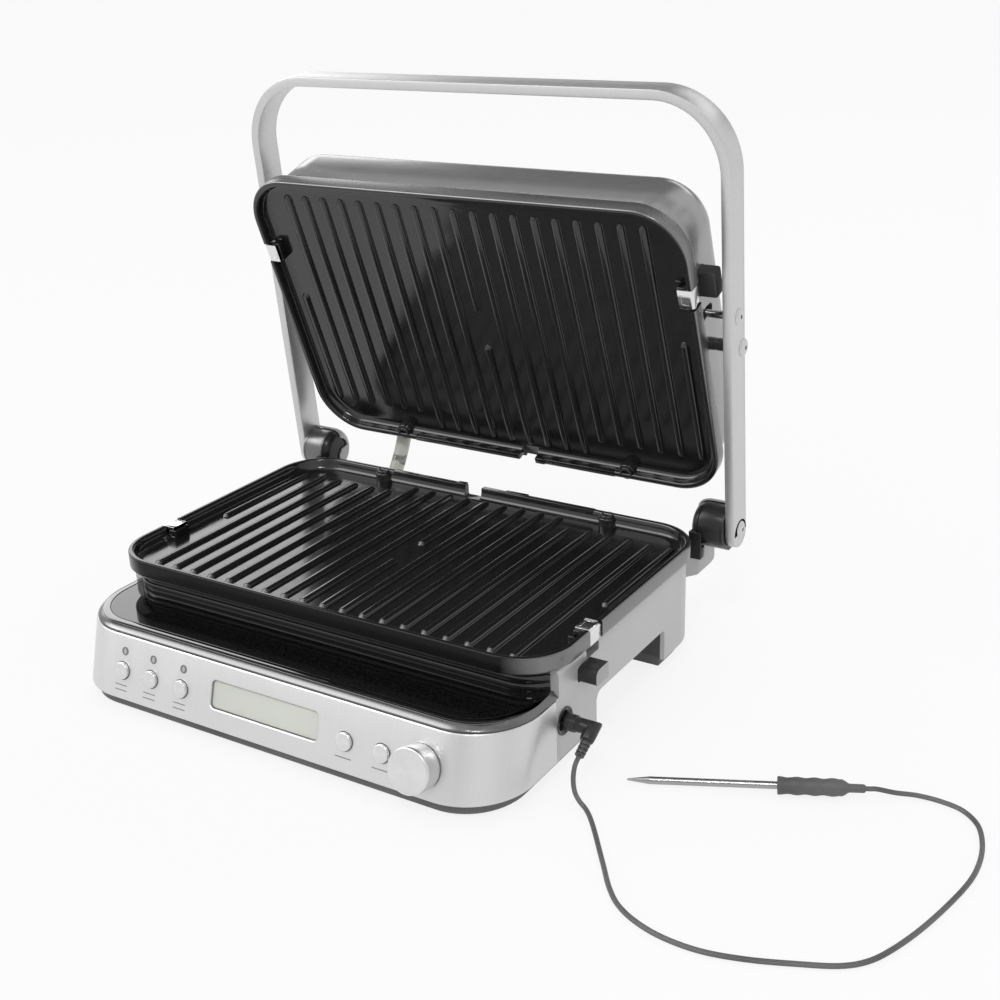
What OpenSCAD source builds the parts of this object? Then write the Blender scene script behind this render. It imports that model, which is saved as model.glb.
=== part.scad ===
// Electric indoor contact grill with a floating lid, a U-shaped lift handle and a plug-in food probe.
// Millimetres. X runs to the right, Y to the rear and Z up. Z is 0 on the table.
// The lid is drawn open, as the grill stands while it is being loaded.

/* [Cooking plates] */
// Distance between neighbouring ribs
rib_pitch = 14.5; // [13:0.25:16]
// Number of full ribs on each plate
full_ribs = 19; // [15, 17, 19, 21]
// Length of a full rib
rib_len = 168; // [155:1:185]
// Length of the short rib at each side
short_rib_len = 89; // [75:1:105]
// Width of a rib
rib_w = 5.8; // [4:0.2:7]
// Height of a rib over the floor of the plate
rib_h = 3.6; // [2.6:0.1:4.5]
// Length of the break in the middle rib
rib_break = 25; // [16:1:36]
// Place of that break, from the front rib ends
rib_break_y = 77; // [60:1:90]
// How far the outer ribs run on behind the plate's cooking length
rib_tail = 3; // [1:0.5:5]
// Thickness of the plate's floor
plate_skin = 3; // [2.4:0.1:4]
// Distance from the outer rib to the side edge of the plate
plate_side = 14.5; // [13:0.5:20]
// Distance from the front rib ends to the front edge of the plate
plate_front = 13.6; // [11:0.2:18]
// Distance from the rear rib ends to the rear edge of the plate
plate_rear = 24.4; // [20:0.2:30]
// Corner radius of the plate
plate_corner_r = 33; // [26:1:38]
// Height of the rim over the rib tops
rim_rise = 5.4; // [4.5:0.1:7]
// Thickness of the rim
rim_wall = 4; // [3:0.2:5]
// How far the rim reaches below the floor of the plate
rim_skirt = 1.3; // [1:0.1:2]
// Width of the drain gap in the rear rim
drain_w = 13; // [8:0.5:20]
// Distance of the drain gap from the middle
drain_x = 14; // [10:0.5:20]

/* [Base] */
// Height of the lower rib tops over the table
rib_top_z = 70; // [68:0.5:80]
// How far the plate stands out past each side of the base
plate_overhang = 3; // [2.5:0.5:5]
// Distance from the rear edge of the plate to the rear of the base
base_rear_gap = 5; // [4:0.5:12]
// Corner radius of the base
base_corner_r = 39; // [30:1:42]
// Wall of the housing
housing_wall = 3; // [2.6:0.1:3.4]
// Height of the front deck over the table
deck_z = 51; // [49:0.5:53]
// Distance from the front rib ends to the upper edge of the control panel
panel_top_gap = 51.5; // [48:0.5:60]
// Height of the upper edge of the control panel over the table
panel_top_z = 47; // [46:0.5:48]
// Lean of the control panel
panel_tilt = 15.5; // [10:0.5:20]
// Height of the lower edge of the steel over the table
panel_bottom_z = 8.6; // [7.5:0.1:10]
// Thickness of the steel fascia
fascia_t = 1.2; // [0.8:0.1:1.5]
// Place of the fascia's rear ends behind the front rib ends
fascia_end_y = 3; // [0:0.5:5]
// Width of the frame round the deck
bezel_w = 7.5; // [6:0.5:10]
// Front of the side arch behind the front rib ends
arch_front_y = 48.5; // [46:0.5:56]
// Depth of the rear legs
leg_y = 60.4; // [56:0.2:66]
// Height of the side arch over the table
arch_z = 30; // [26:0.5:32]
// How far the plinth stands back under the steel
plinth_inset = 5; // [4:0.5:8]
// Height of a foot
foot_h = 1.5; // [1.2:0.1:3]
// Diameter of a foot
foot_d = 14; // [10:1:18]

/* [Controls] */
// Diameter of a push button
button_d = 11.5; // [9:0.5:13]
// How far a button stands out of the panel
button_out = 2.6; // [2:0.1:4]
// Travel of a button
button_travel = 1.2; // [0.8:0.1:1.5]
// Distance of the buttons under the panel's upper edge, along the panel
button_down = 22; // [18:0.5:25]
// Distance of the lights under the panel's upper edge, along the panel
light_down = 9.8; // [8:0.2:11]
// Width of a light
light_w = 3.4; // [2.5:0.1:5]
// Length of a light
light_l = 5.4; // [4:0.1:7]
// Width of the display window
lcd_w = 78; // [60:1:80]
// Height of the display window
lcd_h = 17; // [12:0.5:18]
// Distance of the display's middle under the panel's upper edge, along the panel
lcd_down = 19.2; // [17:0.2:21]
// Diameter of the knob
knob_d = 26; // [20:0.5:28]
// Height of the knob
knob_h = 12.5; // [9:0.5:16]
// Gap between the knob and the panel
knob_gap = 0.8; // [0.5:0.1:1.5]
// Distance of the knob from the middle
knob_x = 108.5; // [106:0.5:112]
// Diameter of the knob's shaft
shaft_d = 6; // [5:0.5:7]

/* [Handle and hinge] */
// Height of the hinge axis over the lower rib tops
hinge_up = 3.7; // [2:0.1:6]
// Distance of the hinge axis behind the base
hinge_back = 10.6; // [10:0.1:16]
// Length of the handle from the hinge axis to its outer face
handle_len = 275; // [262:1:300]
// Thickness of the handle's flat bar
bar_t = 6.3; // [5:0.1:8]
// Width of the handle's flat bar
bar_w = 19.7; // [18:0.1:22]
// Outer radius of the handle's corners
handle_corner_r = 48; // [36:1:60]
// Gap between the plate's side edge and the handle's arm
handle_gap = 9; // [8.5:0.1:12]
// How far the arm reaches past the hinge axis
arm_tail = 2.5; // [1:0.1:4]
// Angle of the open arms, from the rear over the top
arm_open = 95.6; // [93:0.1:100]
// Radius of the barrel round the hinge axis
barrel_r = 15; // [13:0.1:15.4]
// Length of the barrel
barrel_l = 17; // [14:0.5:18]
// Diameter of the hinge pin
hinge_pin_d = 8; // [6:0.5:10]
// Thickness of the hood over the hinge
hood_t = 1.6; // [1.2:0.1:2]
// Width of the fixed block beside the barrel
block_w = 8; // [6:0.5:9]
// Thickness of the bracket's inner cheek
cheek_t = 2.8; // [2:0.1:4]

/* [Lid] */
// Angle of the open lid, from the rear over the top
lid_open = 110.4; // [108:0.1:112]
// Gap between the two rims when the lid is closed
close_gap = 0.8; // [0.4:0.1:2]
// Distance from the upper rib tops to the back of the lid
lid_depth = 50.6; // [46:0.2:56]
// How far the lid shell stands back from the plate's side edge
shell_side = 5.8; // [5:0.1:6.5]
// How far the lid shell stands back from the plate's front and rear edges
shell_end = 4.2; // [3.5:0.1:4.6]
// Corner radius of the lid shell in plan
shell_corner_r = 30; // [24:1:32]
// Rounding of the lid shell's back edge
shell_round = 14.5; // [8:0.5:16]
// Wall of the lid shell
shell_wall = 3; // [2.6:0.1:3.2]
// Distance of the lid's pivot from the hinge axis, along the arm
pivot_along = 120.8; // [118:0.1:124]
// Distance of the lid's pivot behind the arm's centre line
pivot_back = 6.3; // [5.5:0.1:6.5]
// Depth of the lid's pivot behind the upper rib tops
pivot_depth = 18.9; // [17.5:0.1:20]
// Diameter of the lid's pivot boss
pivot_d = 8; // [7:0.1:9]
// Distance of the guide pin from the hinge axis, along the arm
guide_along = 142.4; // [141:0.1:146]
// Diameter of the guide pin
guide_d = 5; // [4:0.1:6]
// Width of the arc slot that the guide pin runs in
guide_slot_w = 6.6; // [6.4:0.1:8]

/* [Clips and release tabs] */
// Distance of the clips from the front rib ends
clip_y = 40.5; // [39:0.5:46]
// Width of a clip
clip_w = 13; // [10:0.5:14]
// Thickness of a clip
clip_t = 1.8; // [1.5:0.1:2]
// How far the clip's tongue lies over the plate's ledge
clip_hold = 3.5; // [2.5:0.1:3.6]
// Travel of a moving clip
clip_travel = 3.8; // [3.6:0.1:3.8]
// How far a release tab stands out
tab_out = 11.5; // [8:0.5:12]
// Travel of a release tab
tab_travel = 3; // [2:0.1:3]
// Length of the upper release tab along the lid
upper_tab_l = 17; // [12:0.5:18]
// Length of the lower release tab
lower_tab_l = 13; // [10:0.5:14]
// Height of a release tab
tab_h = 9.5; // [8:0.5:10]

/* [Drip tray] */
// Width of the drip tray
tray_w = 120; // [90:1:160]
// Height of the drip tray
tray_h = 15; // [10:0.5:16]
// Gap between the drip tray and the wall in front of it
tray_gap = 4; // [2:0.5:8]
// Wall of the drip tray
tray_wall = 1.6; // [1.2:0.1:2.5]

/* [Food probe] */
// Diameter of the probe's cord
cord_d = 3; // [2.5:0.1:3.5]
// Diameter of the plug's body
plug_d = 8; // [7:0.1:9]
// Diameter of the plug's pin
jack_d = 3.5; // [2.5:0.1:4]
// Diameter of the needle
needle_d = 4.2; // [3:0.1:5]
// Length of the needle
needle_l = 80; // [60:1:82]
// Diameter of the probe's grip
grip_d = 10; // [9:0.1:11]
// Length of the probe's grip
grip_l = 36; // [30:1:40]
// Length of the neck behind the grip
neck_l = 10; // [8:0.5:12]

/* [Hidden] */
$fn = 64;
eps = 0.01;
fit = 0.3;             // clearance round parts that drop in or slide by hand
run = 0.05;            // radial clearance of a pin that turns in its bore
seam = 0.2;            // gap between two covers that meet

// Plate sizes, measured from the front rib ends and from the rib tops
plate_w = (full_ribs + 1) * rib_pitch + 2 * plate_side;
plate_y0 = -plate_front;
plate_y1 = rib_len + plate_rear;
floor_g = -rib_h;
slab_g = -rib_h - plate_skin;
slab_inset = shell_side + shell_wall + 0.7;   // the slab under the rim drops into the lid shell
rim_g = floor_g - rim_skirt;
pad_top = rim_rise - clip_t - 0.4;   // top of the ledge that a clip's tongue holds, over the rib tops
pad_w = 7.5;                         // width of that ledge
mid_ribs = 9;                        // these ribs run nearly to the rear rim
mid_rib_y1 = plate_y1 - rim_wall - 4.5;
hook_x = 90;                         // place of the two hooks on the rear rim

// Base sizes
base_w = plate_w - 2 * plate_overhang;
base_y1 = plate_y1 + base_rear_gap;
panel_y = -panel_top_gap;
panel_len = (panel_top_z - panel_bottom_z) / cos(panel_tilt);
tub_gap = fascia_t + fit;            // the housing stands this far inside the steel
shelf_t = 2.5;
tub_top_z = deck_z - 2.8 - seam;     // the deck plate lies on the tub
wall_top_z = rib_top_z + rim_g - 0.5;
riser_y0 = -4.4;                     // front of the black riser under the plate
riser_y1 = 8;
step_y = 6;                          // the side walls rise from here to the rear
pan_x = base_w / 2 - 10.5;           // half width of the heater pan, clear of the tabs
pan_y0 = riser_y1 + 0.6;
pan_y1 = base_y1 - housing_wall - 8;
pan_wall = 1.5;
arch_y1 = base_y1 - leg_y;
web_t = 2.5;

// Hinge and lid sizes
hinge_y = base_y1 + hinge_back;
hinge_z = rib_top_z + hinge_up;
arm_in = plate_w / 2 + handle_gap;
arm_out = arm_in + bar_t;
pivot_r = norm([pivot_along, pivot_back]);
pivot_open = arm_open - atan2(pivot_back, pivot_along);
pivot_rise = rib_top_z + 2 * rim_rise + close_gap + pivot_depth - hinge_z;
pivot_closed = 180 - asin(pivot_rise / pivot_r);
pivot_s = rib_len - (hinge_y + pivot_r * cos(pivot_closed));
handle_turn = pivot_closed - pivot_open;
lid_turn = 180 - lid_open;
lid_y = hinge_y + pivot_r * cos(pivot_open) - pivot_s * cos(lid_open) - pivot_depth * sin(lid_open);
lid_z = hinge_z + pivot_r * sin(pivot_open) - pivot_s * sin(lid_open) + pivot_depth * cos(lid_open);
shell_x = plate_w / 2 - shell_side;
shell_s0 = -plate_rear + shell_end;
shell_s1 = rib_len + plate_front - shell_end;
shell_g = rim_g - 0.5;
upper_pan_x = shell_x - 10.2;
upper_pan_s0 = shell_s0 + 8;
upper_pan_s1 = shell_s1 - 8;
upper_pan_g = -24;
guide_vec = [guide_along - pivot_along, pivot_back];   // from the pivot to the guide pin, in the arm
guide_r = norm(guide_vec);
guide_at = atan2(guide_vec[1], guide_vec[0]) + arm_open - lid_open;   // seen from the lid
hood_in = barrel_r + 0.6;
hood_out = hood_in + hood_t;
barrel_x = arm_in - 0.3 - barrel_l;
block_x = barrel_x - 0.4 - block_w;
cheek_x = block_x - 0.3 - cheek_t;
bracket_y1 = hinge_y + hood_out - 0.2;
bracket_z0 = hinge_z - hood_out - 15.5;
bracket_z1 = hinge_z - hood_out + 1;

// Clips and tabs, in the frame of their plate
leg_out = plate_w / 2 - 0.3;
tongue_g1 = pad_top + 0.3 + clip_t;
foot_g0 = -11.3;
notch_x = plate_w / 2 - 6;           // the plate is cut away outside this, for the clip
lower_tab_y = clip_y - 6;
lower_tab_g = -17.5;
upper_tab_s = rib_len - clip_y - 4.5;
upper_tab_g = -19;
button_x = [-109, -86, -62, 58, 83];
light_x = [-108, -85, -61];

// Centre of the box round the grill, from the front rib ends: it stands over the origin
knob_front = panel_y - (button_down * sin(panel_tilt)) - (knob_gap + knob_h) * cos(panel_tilt)
    - knob_d / 2 * sin(panel_tilt);
lid_rear = lid_y + (shell_s0 + shell_round) * cos(lid_open) + (lid_depth - shell_round) * sin(lid_open)
    + shell_round;
mid_y = (knob_front + lid_rear) / 2;

// Places of the food probe, from the front rib ends
socket_y = 11.6;
socket_z = 31;
plug_x = base_w / 2 + 17.5;          // where the plug's elbow turns forwards
plug_down = 29;                      // fall of the plug's leg
leg_l = 8;
relief_l = 10;
probe_tip = [192.4, 16.3, needle_d / 2 + 0.05];   // needle point, on the table
probe_turn = 21.7;                   // turn of the probe on the table
probe_rise = asin(((grip_d - needle_d) / 2 + 0.05) / (needle_l + 2));
probe_dir = [cos(probe_turn) * cos(probe_rise), sin(probe_turn) * cos(probe_rise), sin(probe_rise)];
neck_end = probe_tip + (needle_l + grip_l + neck_l) * probe_dir;
leg_dir = [0, -cos(plug_down), -sin(plug_down)];
leg_end = [plug_x, socket_y, socket_z] + (leg_l + relief_l) * leg_dir;

// Route of the probe's cord, chosen by hand; heights are counted from the cord lying on the table
cord_lie = cord_d / 2 + 0.1;
cord_route = concat([leg_end - 0.6 * leg_dir, leg_end + leg_dir], [for (p = [
    [174.2, -8.8, 18], [174.6, -11.4, 14], [175.5, -13.3, 9.4], [177.5, -15, 5],
    [181, -16.5, 1.8], [186, -19, 0.2], [192, -25, 0], [200, -35, 0], [209, -47, 0],
    [218, -59, 0], [227, -71, 0], [237, -81, 0], [250, -88, 0], [266, -92, 0],
    [285, -92, 0], [305, -87, 0], [325, -79, 0], [342, -71, 0], [352, -62, 0],
    [359, -49, 0], [366, -29, 0], [372, -5, 0], [376, 18, 0], [376, 36, 0],
    [373, 52, 0], [367, 66, 0], [357, 75, 0], [345, 77.5, 0.2], [333, 76, 0.9],
    [323, 71, 2.2]]) p + [0, 0, cord_lie]], [neck_end + 6 * probe_dir, neck_end + 2 * probe_dir,
    neck_end - 0.6 * probe_dir]);
// Cable sleeve between the base and the lid: it leaves the base level and enters the lid along its plate
sleeve_x = -100;
sleeve_z = 50;
sleeve_g = -12;
function in_lid(x, s, g) = [x, lid_y + s * cos(lid_open) - g * sin(lid_open),
    lid_z + s * sin(lid_open) + g * cos(lid_open)];
lid_dir = [0, cos(lid_open), sin(lid_open)];
sleeve_from = [sleeve_x, base_y1 + 1, sleeve_z];
sleeve_to = in_lid(sleeve_x, shell_s0 - 1, sleeve_g);
function bow(a, b, c, d, t) = pow(1 - t, 3) * a + 3 * t * pow(1 - t, 2) * b + 3 * t * t * (1 - t) * c
    + pow(t, 3) * d;
sleeve_route = concat([sleeve_from - [0, 4.5, 0]],
    [for (k = [0 : 12])
        bow(sleeve_from, sleeve_from + [0, 13, 0], sleeve_to - 12 * lid_dir, sleeve_to, k / 12)],
    [sleeve_to + 4.5 * lid_dir]);
sleeve_d = 11;

// Frames that the sub-parts are drawn in
module at_base() translate([0, -mid_y, 0]) children();
module at_plate() at_base() translate([0, 0, rib_top_z]) children();
module at_lid() at_base() translate([0, lid_y, lid_z]) rotate([lid_open, 0, 0]) children();
// The upper plate is the same casting, turned half a turn in the frame of the lid
module at_upper_plate() at_lid() translate([0, rib_len, 0]) rotate([0, 0, 180]) children();
module at_hinge() at_base() translate([0, hinge_y, hinge_z]) children();
module at_arm() at_hinge() rotate([arm_open, 0, 0]) children();
// On the panel: x from the middle, down from its upper edge, Z out of the panel
module at_panel(x, down) at_base() translate([0, panel_y, panel_top_z]) rotate([90 - panel_tilt, 0, 0])
    translate([x, -down, 0]) children();
module both_sides() {
    children();
    mirror([1, 0, 0]) children();
}
// A cylinder along X from x0 to x1
module rod(x0, x1, d) translate([x0, 0, 0]) rotate([0, 90, 0]) cylinder(d = d, h = x1 - x0);
module box(x0, x1, y0, y1, z0, z1) translate([x0, y0, z0]) cube([x1 - x0, y1 - y0, z1 - z0]);

// Rounded rectangle of width w from y0 to y1, with true arcs
module rrect(w, y0, y1, r) {
    translate([-w / 2 + r, y0]) square([w - 2 * r, y1 - y0]);
    translate([-w / 2, y0 + r]) square([w, y1 - y0 - 2 * r]);
    for (x = [-1, 1], y = [y0 + r, y1 - r])
        translate([x * (w / 2 - r), y]) circle(r);
}
module slab(w, y0, y1, r, z0, z1) translate([0, 0, z0]) linear_extrude(z1 - z0) rrect(w, y0, y1, r);

// A slab whose lower edge is rounded by er: it hangs from z 0 down to -h
module tub_shape(w, y0, y1, h, r, er) {
    module profile(half) {
        translate([0, -h + er]) square([half, h - er]);
        translate([0, -h]) square([half - er, er]);
        translate([half - er, -h + er]) circle(er);
    }
    for (x = [-1, 1], y = [-1, 1])
        translate([x * (w / 2 - r), y > 0 ? y1 - r : y0 + r, 0])
            rotate([0, 0, x > 0 ? (y > 0 ? 0 : 270) : (y > 0 ? 90 : 180)])
                rotate_extrude(angle = 90) profile(r);
    translate([0, y1 - r, 0]) rotate([90, 0, 0]) linear_extrude(y1 - y0 - 2 * r) both_sides() profile(w / 2);
    translate([-w / 2 + r, (y0 + y1) / 2, 0]) rotate([90, 0, 90]) linear_extrude(w - 2 * r)
        both_sides() profile((y1 - y0) / 2);
}

// Outline of the base behind y0, and the leaning block behind the control panel
module rear_outline(inset, y0) intersection() {
    rrect(base_w - 2 * inset, y0 - 120, base_y1 - inset, base_corner_r - inset);
    translate([-base_w / 2, y0]) square([base_w, base_y1 - y0]);
}
module front_block(inset, y1, z0, z1) intersection() {
    translate([0, panel_y, panel_top_z]) rotate([-panel_tilt, 0, 0]) translate([0, 0, -80])
        linear_extrude(120) rrect(base_w - 2 * inset, inset, 220, base_corner_r - inset);
    box(-base_w, base_w, panel_y - 40, y1, z0, z1);
}

// One casting serves as both plates: ribs up, front edge at low Y
module grill_plate() {
    difference() {
        union() {
            slab(plate_w, plate_y0, plate_y1, plate_corner_r, rim_g, rim_rise);
            slab(plate_w - 2 * slab_inset, plate_y0 + slab_inset, plate_y1 - slab_inset,
                plate_corner_r - slab_inset, slab_g, rim_g);
        }
        slab(plate_w - 2 * rim_wall, plate_y0 + rim_wall, plate_y1 - rim_wall,
            plate_corner_r - rim_wall, floor_g, rim_rise + 1);
        both_sides() box(notch_x, plate_w, clip_y - clip_w / 2 - 1, clip_y + clip_w / 2 + 1, slab_g - 1, 20);
        box(-drain_x - drain_w / 2, -drain_x + drain_w / 2, plate_y1 - 2 * rim_wall, plate_y1 + 1,
            floor_g, rim_rise + 1);
    }
    both_sides() box(notch_x - pad_w, notch_x, clip_y - clip_w / 2 - 3, clip_y + clip_w / 2 + 3,
        floor_g - 0.5, pad_top);
    for (i = [-(full_ribs - 1) / 2 : (full_ribs - 1) / 2])
        if (i != 0) rib(i * rib_pitch, 0, abs(i) > mid_ribs / 2 ? rib_len + rib_tail : mid_rib_y1);
    rib(0, 0, rib_break_y);
    rib(0, rib_break_y + rib_break, mid_rib_y1);
    both_sides() rib((full_ribs + 1) / 2 * rib_pitch, rib_len - short_rib_len, rib_len + rib_tail);
    both_sides() translate([hook_x, plate_y1 - rim_wall - 1, floor_g - 0.5])
        cylinder(d = 15, h = rim_rise - floor_g - 1);
}
module rib(x, y0, y1) {
    r = rib_w / 2;
    translate([x, y0 + r, -r]) {
        rotate([-90, 0, 0]) cylinder(r = r, h = y1 - y0 - 2 * r);
        sphere(r);
        translate([0, y1 - y0 - 2 * r, 0]) sphere(r);
    }
}

// Spring clip on the right side of a housing whose wall is at wall_x, in the frame of its plate
module clip(wall_x) {
    tip_x = notch_x - clip_hold;
    foot_x = wall_x - 9;
    translate([0, clip_y - clip_w / 2, 0]) {
        box(tip_x, leg_out, 0, clip_w, tongue_g1 - clip_t, tongue_g1);
        box(leg_out - clip_t, leg_out, 0, clip_w, foot_g0, tongue_g1);
        box(foot_x, leg_out, 0, clip_w, foot_g0, foot_g0 + clip_t);
        box(foot_x, foot_x + 2, 0, clip_w, foot_g0, foot_g0 + clip_t + 1.5);
    }
}
module clip_slot(wall_x) box(wall_x - 5, wall_x + 5, clip_y - clip_w / 2 - fit, clip_y + clip_w / 2 + fit,
    foot_g0 - fit, foot_g0 + clip_t + fit);
// Release tab on the right side of a wall, long along Y
module release_tab(wall_x, wall, l) {
    difference() {
        box(wall_x - wall - 2, wall_x + tab_out, -l / 2, l / 2, -tab_h / 2, tab_h / 2);
        translate([wall_x + tab_out + 5.5, 0, tab_h / 2 + 3]) rotate([90, 0, 0])
            cylinder(r = 8, h = l + 2, center = true);
    }
    box(wall_x - wall - fit - 3.6, wall_x - wall - fit, -l / 2 - 2, l / 2 + 2,
        -tab_h / 2 - 0.7, tab_h / 2 + 0.7);
}
module tab_hole(wall_x, l) box(wall_x - 5, wall_x + 5, -l / 2 - fit, l / 2 + fit,
    -tab_h / 2 - fit, tab_h / 2 + fit);

module tab_pocket(wall_x, wall, l) box(wall_x - wall - 2 * fit - 3.6 - tab_travel, wall_x - wall,
    -l / 2 - 2 - fit, l / 2 + 2 + fit, -tab_h / 2 - 1, 30);

// Tube of a heating element in a plane: a rounded loop with two tails at its rear
element_d = 6.5;
module heating_loop(w, y0, y1, r, tail) {
    module leg(x, a, b) translate([x, a, 0]) rotate([-90, 0, 0]) cylinder(d = element_d, h = b - a);
    module cross(a, b, y) translate([a, y, 0]) rotate([0, 90, 0]) cylinder(d = element_d, h = b - a);
    module bend(x, y, turn) translate([x, y, 0]) rotate([0, 0, turn]) rotate_extrude(angle = 90)
        translate([r, 0]) circle(d = element_d);
    both_sides() {
        leg(w / 2, y0 + r, y1 - r);
        bend(w / 2 - r, y0 + r, 270);
        bend(w / 2 - r, y1 - r, 0);
        cross(tail + r, w / 2 - r, y1);
        bend(tail + r, y1 - r, 90);
        leg(tail, y1 - r - 28, y1 - r);
    }
    cross(-w / 2 + r, w / 2 - r, y0);
}
// Shallow sheet-metal pan, open upwards
module pan(half_w, y0, y1, z0, z1, r) difference() {
    slab(2 * half_w, y0, y1, r, z0, z1);
    slab(2 * (half_w - pan_wall), y0 + pan_wall, y1 - pan_wall, r - pan_wall, z0 + pan_wall, z1 + 1);
}
module sensor(z0, z1) {
    translate([0, 0, z0]) cylinder(d = 16, h = 2.5);
    translate([0, 0, z0]) cylinder(d = 9, h = z1 - z0);
}

// Base

module base_housing() color([0.72, 0.72, 0.73]) at_base() difference() {
    union() {
        front_block(tub_gap, fascia_end_y + seam, panel_bottom_z, tub_top_z);
        translate([0, 0, panel_bottom_z]) linear_extrude(tub_top_z - panel_bottom_z)
            rear_outline(0, fascia_end_y + seam);
        translate([0, 0, tub_top_z]) linear_extrude(wall_top_z - tub_top_z) rear_outline(0, step_y);
    }
    // Space over the shelf, for the heater pan
    translate([0, 0, deck_z]) linear_extrude(60) rear_outline(housing_wall, step_y - 1);
    box(-base_w / 2 + housing_wall, base_w / 2 - housing_wall, 0, riser_y1 + 0.3, tub_top_z, 90);
    // Space under the shelf, open downwards
    front_block(tub_gap + web_t, arch_front_y - web_t, 0, tub_top_z - shelf_t);
    translate([0, 0, -1]) linear_extrude(tub_top_z - shelf_t + 1) intersection() {
        rear_outline(housing_wall, -10);
        translate([-base_w, -10]) square([2 * base_w, arch_front_y - web_t + 10]);
    }
    box(-base_w / 2 + housing_wall, base_w / 2 - housing_wall, arch_front_y - web_t - 1, arch_y1 + web_t + 1,
        arch_z - 1, tub_top_z - shelf_t);
    translate([0, 0, -1]) linear_extrude(tub_top_z - shelf_t + 1) rear_outline(housing_wall, arch_y1 + web_t);
    // Arches between the front block and the rear legs
    box(-base_w, base_w, arch_front_y, arch_y1, 0, arch_z);
    // Window behind the controls
    translate([0, panel_y, panel_top_z]) rotate([90 - panel_tilt, 0, 0])
        box(-knob_x - 17, knob_x + 17, -35, -4, -12, 5);
    // Slots of the clip and the release tab, the probe socket, the drain and the cable sleeve
    translate([0, 0, rib_top_z]) both_sides() clip_slot(base_w / 2);
    translate([0, lower_tab_y, rib_top_z + lower_tab_g]) {
        tab_hole(base_w / 2, lower_tab_l);
        tab_pocket(base_w / 2, housing_wall, lower_tab_l);
    }
    translate([0, socket_y, socket_z]) rod(base_w / 2 - 8, base_w / 2 + 2, socket_d + 2 * run);
    box(-drain_x - 9, -drain_x + 9, base_y1 - housing_wall - 7, base_y1 - housing_wall - 1,
        tub_top_z - 9, deck_z + 5);
    box(-tray_w / 2 - fit, tray_w / 2 + fit, base_y1 - 10, base_y1 + 1, tray_z - fit, tray_z + tray_h + fit);
    translate([gland_x, base_y1 + 1, gland_z]) rotate([90, 0, 0]) cylinder(d = gland_d + 2 * run, h = 12);
    translate([sleeve_x, base_y1 + 1, sleeve_z]) rotate([90, 0, 0]) cylinder(d = sleeve_d + 2 * fit, h = 12);
}
socket_d = 13;
gland_x = 105;
gland_z = 30;
gland_d = 14;
tray_z = foot_h + web_t + 9;
tray_l = leg_y - 2 * web_t - fit - tray_gap - 0.4;

module bottom_cover() color([0.22, 0.2, 0.19]) at_base() {
    plate_top = panel_bottom_z - seam;
    low = plinth_inset;
    in_x = base_w / 2 - housing_wall - fit;
    difference() {
        union() {
            front_block(low, arch_front_y - web_t - fit, foot_h, plate_top);
            translate([0, 0, foot_h]) linear_extrude(plate_top - foot_h)
                rear_outline(low, arch_y1 + web_t + fit);
        }
        front_block(low + web_t, arch_front_y - 2 * web_t - fit, foot_h + web_t, plate_top + 1);
        translate([0, 0, foot_h + web_t]) linear_extrude(plate_top) rear_outline(low + web_t,
            arch_y1 + 2 * web_t + fit);
        foot_places() translate([0, 0, -1]) cylinder(d = foot_d + 2 * run, h = foot_h + 2.2);
    }
    box(-in_x, in_x, arch_front_y - 2 * web_t - fit, arch_front_y - web_t - fit, plate_top - 1, arch_z + web_t);
    box(-in_x, in_x, arch_y1 + web_t + fit, arch_y1 + 2 * web_t + fit, plate_top - 1, arch_z + web_t);
    box(-in_x, in_x, arch_front_y - 2 * web_t - fit, arch_y1 + 2 * web_t + fit,
        arch_z + fit, arch_z + fit + web_t);
}
foot_side = 38.5;
module foot_places() for (x = [-1, 1], y = [panel_y + 23.5, base_y1 - 32])
    translate([x * (base_w / 2 - foot_side), y, 0]) children();
module feet() color([0.12, 0.12, 0.12]) at_base() foot_places() {
    cylinder(d1 = foot_d - 2, d2 = foot_d, h = 1);
    translate([0, 0, 1]) cylinder(d = foot_d, h = foot_h + 0.1);
}

module front_fascia() color([0.78, 0.78, 0.77]) difference() {
    at_base() difference() {
        front_block(0, fascia_end_y, panel_bottom_z, panel_top_z);
        front_block(fascia_t, fascia_end_y + 1, 0, 90);
    }
    for (x = button_x) at_panel(x, button_down) cylinder(d = button_d + 2 * fit, h = 10, center = true);
    at_panel(knob_x, button_down) cylinder(d = shaft_d + 2 * fit, h = 10, center = true);
    for (x = light_x) at_panel(x, light_down) light_shape(fit / 2, 10);
    at_panel(0, lcd_down) cube([lcd_w, lcd_h, 10], center = true);
}
module light_shape(gap, h) linear_extrude(h, center = true) {
    r = light_w / 2 + gap;
    square([2 * r, light_l - light_w], center = true);
    for (y = [-1, 1]) translate([0, y * (light_l - light_w) / 2]) circle(r, $fn = 32);
}

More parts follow.
